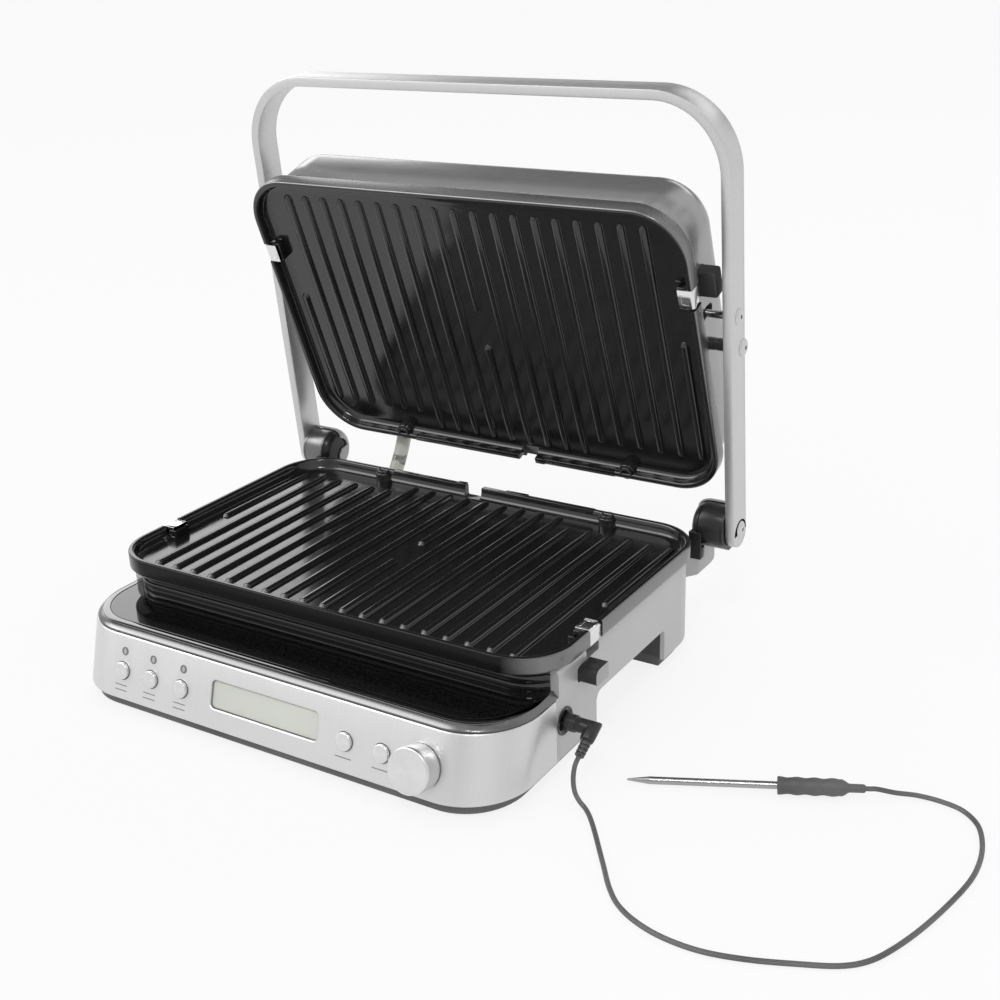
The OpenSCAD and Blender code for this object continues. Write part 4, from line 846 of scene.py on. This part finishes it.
def fascia():
    holes = []
    for x in BUTTONS.values():
        holes.append(cutter(BASE @ on_panel(x, BUTTON_DOWN)))
        holes[-1].lathe([(5.75, -4), (5.75, 0.5), (6.2, 1.0)], 48)
    for x in LAMPS:
        holes.append(cutter(BASE @ on_panel(x, LAMP_DOWN)))
        angles = [math.radians(360 * k / 24) for k in range(24)]
        holes[-1].prism([(1.3 * math.cos(a), 1.9 * math.sin(a)) for a in angles], -4, 1)
    window = cutter(BASE @ on_panel(0, DISPLAY_DOWN))
    flare = [(-4, 0), (-0.5, 0), (0.1, 0.7), (1.0, 0.7)]
    window.grid([ring(78 + 2 * g, -8.5 - g, 8.5 + g, 3 + g, 0, z, 8) for z, g in flare])
    shaft = cutter(BASE @ on_panel(KNOB_X, BUTTON_DOWN))
    shaft.lathe([(4, -4), (4, 2)], 32)
    profile = [(1.2, 8.7), (0.35, 8.7), (0.0, 9.1), (0.0, 46.1), (0.12, 46.5), (0.45, 46.85), (1.2, 46.95)]
    front_band("fascia_piece", STEEL, profile, 2.9, "front_fascia", "fascia_steel", holes + [window, shaft])


fascia()
LIP = [(1.9, 47.3), (0.75, 47.3), (0.5, 47.6), (0.5, 48.0), (0.75, 48.4), (3.0, 50.55), (3.3, 50.6),
       (3.3, 47.9)]
TOP = [(3.05, 50.6), (3.2, 50.9), (3.6, 51.08), (6.9, 51.18), (7.3, 51.13), (7.5, 50.9), (7.5, 47.9),
       (3.05, 47.9)]
SEAM = [(1.35, 46.7), (0.75, 46.9), (0.7, 47.3), (1.5, 47.5), (2.4, 47.4), (2.4, 46.7)]
front_band("bezel_piece", SMOKED, LIP, 5.7, "deck_bezel")
front_band("bezel_top", CHROME, TOP, 5.7)
# Dark strip in the joint under the bezel's lip: partly the bezel's black underside, partly painted shadow of
# the gap
front_band("bezel_seam", GAP_SHADE, SEAM, 3.0, slot="deck_black")


def deck():
    b = Build("deck_piece", DECK_BLACK, "base", "front_deck", "deck_black", smooth=40)
    # Flat deck: the last ring keeps the smooth edge's slant off the flat face
    flat = [(7.6, 48.2), (7.75, DECK_Z - 0.1), (8.1, DECK_Z), (8.8, DECK_Z)]
    b.grid([front_path(inset, z, 7.5) for inset, z in flat])
    # Stepped riser with its two grooves, open to the rear
    w, y0, y1, r, y_end = 311, -4.4, 120, 26, 7.6
    profile = [(0.2, 50.9), (0, 51.4), (0, 55.3), (0.25, 55.7), (1.1, 55.9), (1.1, 56.5), (0.35, 56.7),
               (0.15, 57.1), (0.3, 60.2), (0.55, 60.5), (1.3, 60.7), (1.3, 61.2), (0.8, 61.4), (0.7, 61.8),
               (0.9, 63.2), (2.4, 63.35)]
    lines = []
    for inset, z in profile:
        pts = rrect(w, y0, y1, r, inset, 14)
        quarter = len(pts) // 4
        front = [p for p in pts[-quarter:] + pts[:quarter] if p[1] < y_end]
        x = w / 2 - inset
        lines.append([(px, py, z) for px, py in [(-x, y_end)] + front + [(x, y_end)]])
    for line, z in ((lines[-1], 63.35), (lines[0], 51.0)):
        lines.append([(x * 0.985, y + 3.0 if y < 7.0 else y, z) for x, y, _ in line])
    b.grid(list(zip(*lines)))
    b.done()


deck()


def plinth():
    """Leaning front pan, rear pan, belly over the arch with vent ribs, and rings for the feet."""
    b = Build("plinth_piece", PLINTH, "base", "bottom_cover", "plinth_dark", smooth=40)
    profile = [(5.6, 2.0), (4.9, 2.6), (4.7, 3.6), (4.4, 8.2)]
    y0 = 139.8
    b.grid([front_path(inset, z, 43.4) for inset, z in profile])
    rows = []
    for inset, z in profile:
        pts = rrect(BASE_W, -80, BASE_Y1, BASE_R, inset, 12)
        quarter, x = len(pts) // 4, BASE_X - inset
        rear = [p for p in pts[quarter:3 * quarter] if p[1] > 140]
        rows.append([(px, py, z) for px, py in [(x, y0)] + rear + [(-x, y0)]])
    b.grid(rows)
    b.box(-152, 152, 43.2, 44.8, 7.6, 32.2, 0.4, 1)
    b.box(-152, 152, 139.9, 142.0, 7.6, 32.2, 0.4, 1)
    b.box(-152, 152, 43.4, 142, 30.4, 32.4, 0.4, 1)
    for x in range(-98, 99, 14):
        b.box(x - 3.0, x + 3.0, 66, 118, 29.2, 30.6)
    for x, y in FEET:
        b.lathe([(9.6, 2.2), (9.6, 1.4), (9.0, 1.2), (7.6, 1.2), (7.6, 2.2)], 40, shift(x, y, 0))
    b.done()


def feet():
    b = Build("feet_piece", RUBBER, "base", "feet", "foot_rubber", smooth=40)
    for x, y in FEET:
        b.lathe([(0.02, 0.35), (3.6, 0.35), (4.0, 0.0), (5.8, 0.0), (6.5, 0.3), (6.9, 1.0), (6.9, 2.4),
                 (0.02, 2.5)], 36, shift(x, y, 0))
    b.done()


plinth()
feet()


# Controls on the panel

def buttons():
    cap = [(0.02, 2.3), (3.0, 2.28), (4.6, 2.2), (4.95, 2.1), (5.2, 1.8), (5.32, 1.4), (5.32, -1.5),
           (7.6, -1.6), (7.6, -3.4), (2, -3.4), (2, -12.5), (0.02, -12.6)]
    # Dark ring in the gap round each cap: painted shade
    gap_shade_ring = [(5.74, -0.25), (5.74, -1.15), (5.5, -1.2), (5.5, -1.25), (6.1, -1.3), (6.1, -0.3)]
    for node, x in BUTTONS.items():
        at = BASE @ on_panel(x, BUTTON_DOWN)
        turned(node + "_piece", SPUN, node + "_body", node, "button_grey", cap, 56, at=at, smooth=40)
        turned(node + "_gap_shade", GAP_SHADE, "base", "", "deck_black", gap_shade_ring, 48, at=at, smooth=40)


def knob():
    profile = [(0.02, 13.16), (4.0, 13.18), (11.4, 13.1), (11.9, 13.2), (12.35, 13.1), (12.75, 12.7),
               (12.95, 12.1), (13.0, 11.4), (13.0, 3.0), (12.85, 2.4), (12.5, 2.0), (12.4, 1.4),
               (12.5, 1.1), (12.4, 0.85), (3.0, 0.8), (3.0, -1.3), (0.02, -1.4)]
    turned("knob_piece", SPUN, "knob", "control_knob", "knob_metal", profile, 96,
           at=BASE @ on_panel(KNOB_X, BUTTON_DOWN), smooth=35)


def lamps():
    """Drop-shaped lenses, each on a dark disc."""
    lenses = Build("led_piece", LENS, "base", "led_lenses", "lens", smooth=40)
    discs = Build("led_rings", PRINT, "base", slot="lens", smooth=40)
    drop = []
    for k in range(28):
        x, y = polar(1, 360 * k / 28)
        drop.append((1.15 * x * (1 - 0.45 * max(0.0, y) ** 2), 1.75 * y))
    for lamp_x in LAMPS:
        at = on_panel(lamp_x, LAMP_DOWN)
        steps = ((1, -1.5), (1, 0.1), (0.9, 0.22), (0.6, 0.3), (0.02, 0.32))
        lenses.grid([[(x * g, y * g, z) for x, y in drop] for g, z in steps], at=at)
        discs.lathe([(0.02, 0.0), (2.55, 0.0), (2.6, 0.06), (2.5, 0.12), (2.2, 0.12), (2.15, 0.05),
                     (0.02, 0.05)], 36, at)
    lenses.done()
    discs.done()


def marks():
    """Plain bars under the buttons, in place of printed words."""
    b = Build("panel_marks", PRINT, "base", slot="lens", smooth=40)
    bars = [(x, down, 9.5, 0.55) for x in (-109.5, -86.5, -62.5) for down in (31.0, 34.2)]
    for x, down, w, h in bars + [(58, 31.2, 11, 0.6), (83, 31.2, 11, 0.6)]:
        b.box(-w / 2, w / 2, -h / 2, h / 2, 0.01, 0.08, 0.02, 1, on_panel(x, down))
    b.done()


def display():
    at = BASE @ on_panel(0, DISPLAY_DOWN)
    module = Build("display_piece", DISPLAY, "base", "lcd_module", "display", at, 40)
    module.prism(rrect(79.5, -9.5, 9.5, 2.5, 0, 6), -6.5, -1.9)
    module.done()
    surround = Build("display_frame", SMOKED, "base", "", "display_glass", at, 40)
    profile = [(78.6, 8.8, 3.2, -0.55), (77.4, 8.2, 2.6, -1.6), (76.8, 7.9, 2.3, -1.7),
               (76.8, 7.9, 2.3, -1.9), (79.4, 9.2, 3.2, -1.9), (79.4, 9.2, 3.2, -1.25)]
    surround.grid([ring(w, -h, h, r, 0, z, 8) for w, h, r, z in profile], caps=(False, False), loop=True)
    surround.done()
    window = Build("display_window", GLASS, "base", "lcd_window", "display_glass", at, 40)
    window.prism(rrect(77.2, -8.1, 8.1, 2.5, 0, 6), -1.75, -1.45)
    window.done()


buttons()
knob()
lamps()
marks()
display()


# Probe socket, mains gland and drip tray

def socket():
    profile = [(1.9, -12), (6.4, -12), (6.45, 0.0), (7.9, 0.02), (8.2, 0.15), (8.3, 0.45), (8.05, 0.7),
               (7.6, 0.7), (6.2, 0.1), (5.4, -0.8), (5.2, -3.0), (2.1, -3.2), (1.9, -4.0)]
    turned("socket_piece", GLOSS, "base", "probe_socket", "socket_black", profile, 48, in_socket(0),
           smooth=40)


def gland():
    """Collar for the mains cord, with twelve grip ribs."""
    b = Build("mains_gland_piece", BLACK, "base", "mains_gland", "socket_black", smooth=40)
    at = shift(GLAND_X, BASE_Y1, GLAND_Z) @ turn(-90, "X")
    b.lathe([(3.5, -8), (6.95, -8), (7.0, 0.0), (8.8, 0.05), (9.0, 0.5), (8.9, 1.6), (8.3, 2.0),
             (6.95, 2.05), (6.8, 3.6), (6.3, 4.0), (3.9, 4.0), (3.5, 3.6)], 40, at)
    for k in range(12):
        b.box(-0.6, 0.6, 7.0, 8.2, 1.9, 2.5, 0.2, 1, at @ turn(30 * k, "Z"))
    b.done()


def tray():
    """Open drip tray with a ribbed pull at its rear."""
    b = Build("drip_tray_piece", TRAY, "drip_tray", "drip_tray", "tray_dark", smooth=35)
    y1, z0, z1 = BASE_Y1 - 0.4, 13.1, 27.9
    profile = [(3, z0), (1.2, z0 + 0.3), (0.3, z0 + 1.2), (0, z0 + 2.4), (0, z1 - 0.4), (0.4, z1),
               (1.4, z1), (1.7, z1 - 0.4), (1.8, z0 + 3.4), (2.4, z0 + 2.0), (4.0, z0 + 1.6)]
    b.grid([ring(119.6, y1 - 50, y1, 5, inset, z, 6) for inset, z in profile])
    b.box(-22, 22, y1 - 1.2, y1 + 5.9, 24.1, 26.4, 0.8, 3)
    for x in range(-16, 17, 4):
        b.box(x - 0.6, x + 0.6, y1 + 1.6, y1 + 5.2, 26.2, 26.8, 0.25, 1)
    b.done()


socket()
gland()
tray()


# Hinge, both sides

def dome(reach, rise, radius):
    """Points (x, radius) of a rounded inner end, from its rim inward."""
    angles = [math.radians(90 * k / 8) for k in range(9)]
    return [(153 - reach * math.sin(a), radius + rise * math.cos(a)) for a in angles]


def bracket(at, tag):
    """A hood, half a shell over the rear and the top, and the arm that carries it from the rear wall."""
    b = Build("bracket_" + tag, BRACKET, "base", "hinge_bracket_" + tag, "bracket_grey", at, 32)
    hood = [(167.6, 16.0), (168, 15.7), (168, 15.1), (167.7, 14.9)] + dome(7.4, 5.3, 9.6)
    hood += dome(8.4, 6.4, 9.6)[::-1]
    cheek = [(144.6, 10.2), (145.6, 10.2), (145.6, 2.2), (144.6, 2.2)]
    for profile, last, n in ((hood, 78, 40), (cheek, 12, 22)):
        b.grid([[(x, *polar(r, -92 + (last + 92) * k / n)) for x, r in profile] for k in range(n + 1)])
    wall = BASE_Y1 - HINGE_Y - 9
    side = [(wall, -19.8), (-14.9, -19.8), (-14.9, -20.0), (-5.9, -20.0), (-5.9, -15.6), (4.5, -16.2),
            (15.4, -16.2), (16.6, -17.0), (16.9, -30.2), (16.0, -32.2), (10.6, -33.2), (wall, -33.2)]
    rows = []
    # Chamfered towards the base's corner, and rounded by g at both faces
    for x, g in ((139.7, 0.7), (139.9, 0.2), (140.5, 0.0), (143.2, 0.0), (149.8, 0.0), (150.4, 0.2),
                 (150.6, 0.7)):
        front = -20.5 + max(0, x - 143.5) * 1.6
        inward = [(g if y < -5 else -g, g if z < -25 else -g if z > -20 else 0) for y, z in side]
        rows.append([(x, max(y, front + 0.01 * i) + gy, z + gz)
                     for i, ((y, z), (gy, gz)) in enumerate(zip(side, inward))])
    b.grid(rows)
    b.done()


def hinge_block(at, tag):
    b = Build("hinge_block_" + tag + "_piece", GLOSS, "base", "hinge_block_" + tag, "hinge_black", at, 40)
    body = [(r, x) for x, r in dome(7.0, 4.9, 9.4)[::-1] if x < 150.2]
    b.lathe([(0.02, 145.85), (5, 145.9)] + body + [(14.05, 150.6), (13.9, 150.75), (4.0, 150.8)], 64, ALONG_X)
    x0, x1, low = 146.2, 154.8, -19.6
    b.box(x0, 150.75, -14.5, -6.2, low, -1.0, 0.7, 3)
    b.box(x0, x1, -14.5, -9.4, low, -11.6, 0.6, 3)
    b.box(x0, x1, -15.9, -14.6, low, -1.0, 0.5, 3)
    b.done()


def hinge_barrel(at, tag):
    profile = [(4.1, 151.2), (13.95, 151.2), (14.12, 151.4), (14.28, 152.4), (14.3, 153.5), (14.3, 165.8),
               (14.15, 166.1), (14.0, 166.3), (14.0, 166.7), (14.2, 166.9), (14.2, 168.0), (14.0, 168.2),
               (2.6, 168.2), (2.6, 163.2), (4.1, 163.0)]
    # The left barrel is the same part as the right's gloss black one, coloured lighter grey: painted
    # reflection
    turned("hinge_barrel_" + tag + "_piece", GLOSS if tag == "right" else LEFT_BARREL_REFLECTION, "handle",
           "hinge_barrel_" + tag, "hinge_black", profile, 72, ALONG_X, at, 40)


def turned_pair(name, mat, body, node, slot, profile, n, at, y=0, z=0):
    """The same turned shape at both sides."""
    b = Build(name, mat, body, node, slot, at, 40)
    for side in SIDES:
        b.lathe(profile, n, side @ shift(0, y, z) @ ALONG_X)
    b.done()


for side, tag in zip(SIDES, ("right", "left")):
    bracket(HINGE @ side, tag)
    hinge_block(HINGE @ side, tag)
    hinge_barrel(HINGE @ side, tag)
turned_pair("hinge_pins_piece", NEEDLE, "base", "hinge_pins", "pin_steel",
            [(0.02, 146.6), (3.5, 146.6), (3.95, 147.1), (3.95, 162.2), (3.5, 162.7), (0.02, 162.7)], 32,
            HINGE)


# Handle: one flat bar bent into a U, with round screws

def handle():
    b = Build("handle_piece", ALU, "handle", "handle_bar", "handle_metal", ARM, 35)
    t, w, foot = (ARM_OUT - ARM_IN) / 2, BAR_W / 2, -2.5
    x, top, r = ARM_IN + t, HANDLE_LEN - t, HANDLE_R - t
    half = [(x, y) for y in (foot, 30, 90, 150, top - r)] + arc(x - r, top - r, r, 0, 90, 16)[1:]
    line = both_halves(half + [((x - r) * (1 - k / 5), top) for k in range(1, 6)])
    # The edge's round as (in from the face, in from the side)
    edge = [(0, 0.9), (0.25, 0.3), (0.85, 0)]
    corners = ((-1, -1, edge), (1, -1, edge[::-1]), (1, 1, edge), (-1, 1, edge[::-1]))
    cross = [(sx * (t - a), sy * (w - c)) for sx, sy, run in corners for a, c in run]
    rows = []
    for i, (x, y) in enumerate(line):
        before, after = Vector(line[max(i - 1, 0)]), Vector(line[min(i + 1, len(line) - 1)])
        d = (after - before).normalized()
        rows.append([(x + d.y * out, y - d.x * out, z) for out, z in cross])
    b.grid(rows, caps=(False, False))
    # Rounded lower ends round the hinge axis
    rim = [(w - a, ARM_IN + c) for a, c in ((0.85, 0), (0.25, 0.25), (0, 0.85))]
    rim += [(w - a, ARM_OUT - c) for a, c in ((0, 0.85), (0.25, 0.25), (0.85, 0))]
    for side in SIDES:
        b.lathe([(0.02, ARM_IN)] + rim + [(0.02, ARM_OUT)], 56, shift(0, foot, 0) @ side @ ALONG_X)
    b.done()


def screws():
    """Domed screws with hexagon sockets, at the hinge, the pivot and the guide. Each socket's floor is a dark
    hexagon: painted shade.
    """
    heads = Build("handle_screws_piece", ALU, "handle", "handle_screws", "pin_steel", ARM, 35)
    holes = Build("screw_socket_shade", GAP_SHADE, "handle", "", "pin_steel", ARM, 35)
    for side in SIDES:
        for y, z, r in ((0, 0, 5.5), (PIVOT_ALONG, -PIVOT_BACK, 5.5), (GUIDE_ALONG, 0, 5)):
            at = side @ shift(ARM_OUT, y, z) @ ALONG_X
            heads.lathe([(2.4, -5), (2.4, 0.0), (r, 0.0), (r + 0.02, 0.3), (r - 0.25, 0.7), (r - 0.9, 1.15),
                         (r - 1.9, 1.55), (r - 3.0, 1.8), (1.6, 1.92), (1.3, 1.85), (1.25, 0.9),
                         (0.02, 0.85)], 40, at)
            # Dark hexagon at the bottom of each socket: painted shade
            holes.lathe([(1.24, 0.88), (1.24, 1.0), (0.02, 1.0)], 6, at)
    heads.done()
    holes.done()


handle()
screws()
turned_pair("lid_pivot_piece", BLACK, "handle", "lid_pivots", "tab_black",
            [(0.02, 148.6), (3.6, 148.6), (3.9, 149.0), (3.9, 157.5), (3.6, 157.8), (3.6, 158.4),
             (3.9, 158.7), (3.9, 166.8), (5.2, 166.9), (5.4, 167.2), (5.4, 168.3), (0.02, 168.4)], 40, ARM,
            PIVOT_ALONG, -PIVOT_BACK)
turned_pair("guide_pin_piece", BRIGHT, "handle", "guide_pins", "pin_steel",
            [(0.02, 148.6), (2.0, 148.6), (2.48, 149.1), (2.48, 168.3), (0.02, 168.4)], 32, ARM,
            GUIDE_ALONG)


# Lid shell

def guide_slot():
    """Outline of the arc slot in which the guide pin runs, round the pivot."""
    centre = (PIVOT_S, -PIVOT_DEPTH)
    along, half = GUIDE_ALONG - PIVOT_ALONG, 3.3
    radius = math.hypot(along, PIVOT_BACK)
    rest = math.degrees(math.atan2(PIVOT_BACK, along)) + ARM_OPEN - LID_OPEN
    a0, a1, sweep = rest - 16, rest + 12, 28
    pts = arc(*centre, radius + half, a0, sweep, 16)
    pts += arc(*polar(radius, a1, *centre), half, a1, 180, 8)[1:-1]
    pts += arc(*centre, radius - half, a1, -sweep, 16)
    return pts + arc(*polar(radius, a0, *centre), half, a0 + 180, 180, 8)[1:-1]


def lid():
    b = Build("lid_shell_piece", GUNMETAL, "lid", "lid_shell", "lid_grey", LID, 35)
    mouth, back, side = -5.4, -LID_DEPTH, 3
    outside = [(0.35, mouth), (0.0, mouth - 0.5), (0.0, back + SHELL_ROUND)]
    outside += [(SHELL_ROUND - x, back + SHELL_ROUND - y)
                for x, y in arc(0, 0, SHELL_ROUND, 0, 90, 9)[1:]] + [(19, back)]
    inside = [(19, back + 3), (14, back + 3), (8, back + 5.5), (3.4, back + 12), (side, back + 16),
              (side, mouth - 0.4), (2.6, mouth)]
    edge = [(2.6, mouth), (0.35, mouth)]
    for profile, caps in ((outside, (False, True)), (inside, (True, False)), (edge, (False, False))):
        b.grid([ring(2 * SHELL_X, SHELL_S0, SHELL_S1, SHELL_R, inset, z, 16) for inset, z in profile], caps)
    bmesh.ops.remove_doubles(b.bm, verts=b.bm.verts[:], dist=0.001)
    # Notches for the clips, pivot holes and guide slots
    sides = cutter(LID)
    for s, hand in ((-1, MIRROR), (1, HERE)):
        x0, x1 = sorted((s * (SHELL_X - 6), s * (SHELL_X + 4)))
        sides.box(x0, x1, RIB_LEN - 47.4, RIB_LEN - 33.6, -11.6, -3.0, 0.6)
        sides.lathe([(4.1, SHELL_X - 6), (4.1, SHELL_X + 4)], 32,
                    hand @ shift(0, PIVOT_S, -PIVOT_DEPTH) @ ALONG_X)
        sides.grid([[(x, y, z) for y, z in guide_slot()] for x in (x0, x1)])
    # The upper tab's slot and the cable sleeve's hole
    others = cutter(LID)
    others.box(SHELL_X - 6, SHELL_X + 4, 114.2, 131.8, -24.1, -13.9, 0.6)
    others.lathe([(5.85, 0), (5.85, 8)], 32, shift(SLEEVE_X, SHELL_S0 + 5, SLEEVE_DEPTH) @ turn(90, "X"))
    b.done([sides, others])
    # Dark box inside the lid, seen through the slots: painted shade
    lid_shade = Build("lid_painted_shade", GAP_SHADE, "lid", "", "pan_black", LID, 35)
    lid_shade.prism(rrect(282, SHELL_S0 + 5, SHELL_S1 - 5, 24), -25.8, -7.5)
    lid_shade.done()


lid()


# Heat-resistant sleeve between base and lid, in two halves that share its middle

def sleeve_line():
    """A curve out of the base's rear wall and into the lid, with a short straight run inside each."""
    along = IN_LID.to_3x3() @ Vector((0, 1, 0))
    a = Vector((SLEEVE_X, BASE_Y1 + 1, SLEEVE_Z))
    e = IN_LID @ Vector((SLEEVE_X, SHELL_S0 - 1, SLEEVE_DEPTH))
    b, c = a + Vector((0, 13, 0)), e - 12 * along
    pts = [a - Vector((0, 4.5, 0))]
    for k in range(41):
        t = k / 40
        pts.append((1 - t) ** 3 * a + 3 * t * (1 - t) ** 2 * b + 3 * t * t * (1 - t) * c + t ** 3 * e)
    return pts + [e + 4.5 * along]


def sleeve_part(name, line, node):
    b = Build(name, CREAM, "", node, "sleeve", smooth=60)
    b.tube(line, SLEEVE_D, 28)
    return b.done()


sleeve_pts = sleeve_line()
half = len(sleeve_pts) // 2
low_obj = sleeve_part("sleeve_low", sleeve_pts[:half + 3], "cable_sleeve")
high_obj = sleeve_part("sleeve_high", sleeve_pts[half - 2:], "")
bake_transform(low_obj)
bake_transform(high_obj)


# CAD nodes that keep their shape, mostly hidden inside

INSIDE = {"heater_pan": PAN, "heating_element": PAN, "reflector": NEEDLE, "plate_sensor": NEEDLE}
for kind, mat in INSIDE.items():
    wear(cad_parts["lower_" + kind], mat)
    wear(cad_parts["upper_" + kind], mat)
wear(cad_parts["rotary_encoder"], NEEDLE)
wear(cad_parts["control_board"], BOARD)
wear(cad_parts["power_board"], BOARD)


# Floor, world and lamps

def studio_floor():
    """White to the camera, half as bright to reflections and plain white paint to all other light."""
    mesh = bpy.data.meshes.new("floor")
    mesh.from_pydata([(-30, -30, 0), (30, -30, 0), (30, 30, 0), (-30, 30, 0)], [], [(0, 1, 2, 3)])
    floor = bpy.data.objects.new("floor", mesh)
    SCENE.collection.objects.link(floor)
    n = Surface("floor_white")
    n.finish(Base_Color=(0.9, 0.9, 0.9, 1), Roughness=0.9, Specular_IOR_Level=0.0)
    rays = n.add("LightPath")
    glossy = n.span(rays.outputs["Is Glossy Ray"], 0, 0.45, 0, 1)
    seen = n.maths("MAXIMUM", rays.outputs["Is Camera Ray"], glossy)
    mixed = n.add("MixShader", Fac=n.span(seen, 0.35, 0.86, 0, 1))
    n.tree.links.new(n.bsdf.outputs[0], mixed.inputs[1])
    n.tree.links.new(n.add("Emission", Strength=0.98, Color=(1, 1, 1, 1)).outputs[0], mixed.inputs[2])
    n.tree.links.new(mixed.outputs[0], n.tree.nodes["Material Output"].inputs["Surface"])
    mesh.materials.append(n.mat)


def surround(n):
    """Strength of the surround in reflections, by direction: walls, a window and a soft box."""
    parts = n.add("SeparateXYZ", Vector=n.add("TexCoord").outputs["Generated"])
    x, y, height = (parts.outputs[axis] for axis in "XYZ")
    angle = n.maths("ARCTAN2", y, x)

    def edge(value, a, b):
        return n.step(value, math.radians(a), math.radians(b))

    # Metal gets bands from walls that differ a little by direction
    ramp = n.add("ValToRGB", Fac=n.maths("ADD", n.maths("DIVIDE", angle, 2 * math.pi), 0.5))
    ramp.color_ramp.interpolation = "B_SPLINE"
    stops = [(0.0, 0.9), (0.12, 1.0), (0.2, 1.0), (0.27, 0.42), (0.33, 0.8), (0.38, 1.0), (0.45, 0.75),
             (0.5, 0.6), (0.57, 1.0), (0.7, 0.9), (0.85, 1.0), (1.0, 0.9)]
    bands = ramp.color_ramp.elements
    while len(bands) < len(stops):
        bands.new(0.5)
    for band, (at, v) in zip(bands, stops):
        band.position = at
        band.color = (v, v, v, 1)
    # Gloss black shows a bright window at the left rear, and a dark wall from there to the right
    slant = n.maths("SUBTRACT", angle, n.times(n.maths("SUBTRACT", height, 0.44), math.radians(30)))
    window = n.times(edge(slant, 130.6, 131.6), edge(angle, 172, 160), n.step(height, 0.2, 0.26),
                     n.step(height, 0.58, 0.53))
    wall = n.times(edge(slant, 131.6, 130.6), edge(angle, 60, 85), n.step(height, 0.12, 0.3))
    above = n.times(edge(angle, 60, 85), n.step(height, 0.56, 0.62), n.step(height, 0.93, 0.8))
    # Soft box in front on the left and above, seen in the sloped ends of the ribs
    toward = n.maths("ADD", n.times(x, -0.58), n.maths("ADD", n.times(y, -0.40), n.times(height, 0.71)))
    glint = edge(n.maths("ARCCOSINE", n.maths("MINIMUM", 1.0, toward)), 24, 13)
    dimming = n.maths("SUBTRACT", 1.0, n.times(n.maths("MAXIMUM", wall, above), 0.88))
    lights = n.maths("ADD", n.times(window, 1.7), n.times(glint, 3.4))
    return n.maths("ADD", n.times(ramp.outputs["Color"], dimming), lights)


def studio_world():
    """White to the camera, the surround to reflections and an even light to the rest."""
    world = bpy.data.worlds.new("studio")
    SCENE.world = world
    n = Nodes(world)
    rays = n.add("LightPath")
    even = n.set(n.tree.nodes["Background"], Color=(1, 1, 1, 1), Strength=0.85)
    mirrored = n.add("Background", Color=(1, 1, 1, 1), Strength=surround(n))
    white = n.add("Background", Color=(1, 1, 1, 1), Strength=1.0)
    shine = n.add("MixShader", Fac=rays.outputs["Is Glossy Ray"])
    through = n.maths("MAXIMUM", rays.outputs["Is Camera Ray"], rays.outputs["Is Transmission Ray"])
    mixed = n.add("MixShader", Fac=through)
    end = n.tree.nodes["World Output"].inputs["Surface"]
    for source, socket in ((even, shine.inputs[1]), (mirrored, shine.inputs[2]), (shine, mixed.inputs[1]),
                           (white, mixed.inputs[2]), (mixed, end)):
        n.tree.links.new(source.outputs[0], socket)


def area(name, loc, aim, size, power):
    lamp = bpy.data.lights.new(name, "AREA")
    lamp.shape, lamp.size, lamp.size_y, lamp.energy = "RECTANGLE", size[0], size[1], power
    obj = bpy.data.objects.new(name, lamp)
    SCENE.collection.objects.link(obj)
    obj.location = loc
    obj.rotation_euler = (Vector(aim) - Vector(loc)).to_track_quat("-Z", "Y").to_euler()


studio_floor()
studio_world()
area("key", (0.7, -1.3, 1.9), (0, 0, 0.1), (0.34, 0.34), 9)
area("fill", (-1.9, -0.6, 1.2), (0, 0, 0.15), (0.7, 0.7), 5)
area("rear", (0.2, 1.9, 1.5), (0, 0, 0.2), (1.2, 0.5), 4)
area("spark", (0.2, -1.0, 1.6), (0, 0, 0.07), (0.09, 0.09), 1.2)
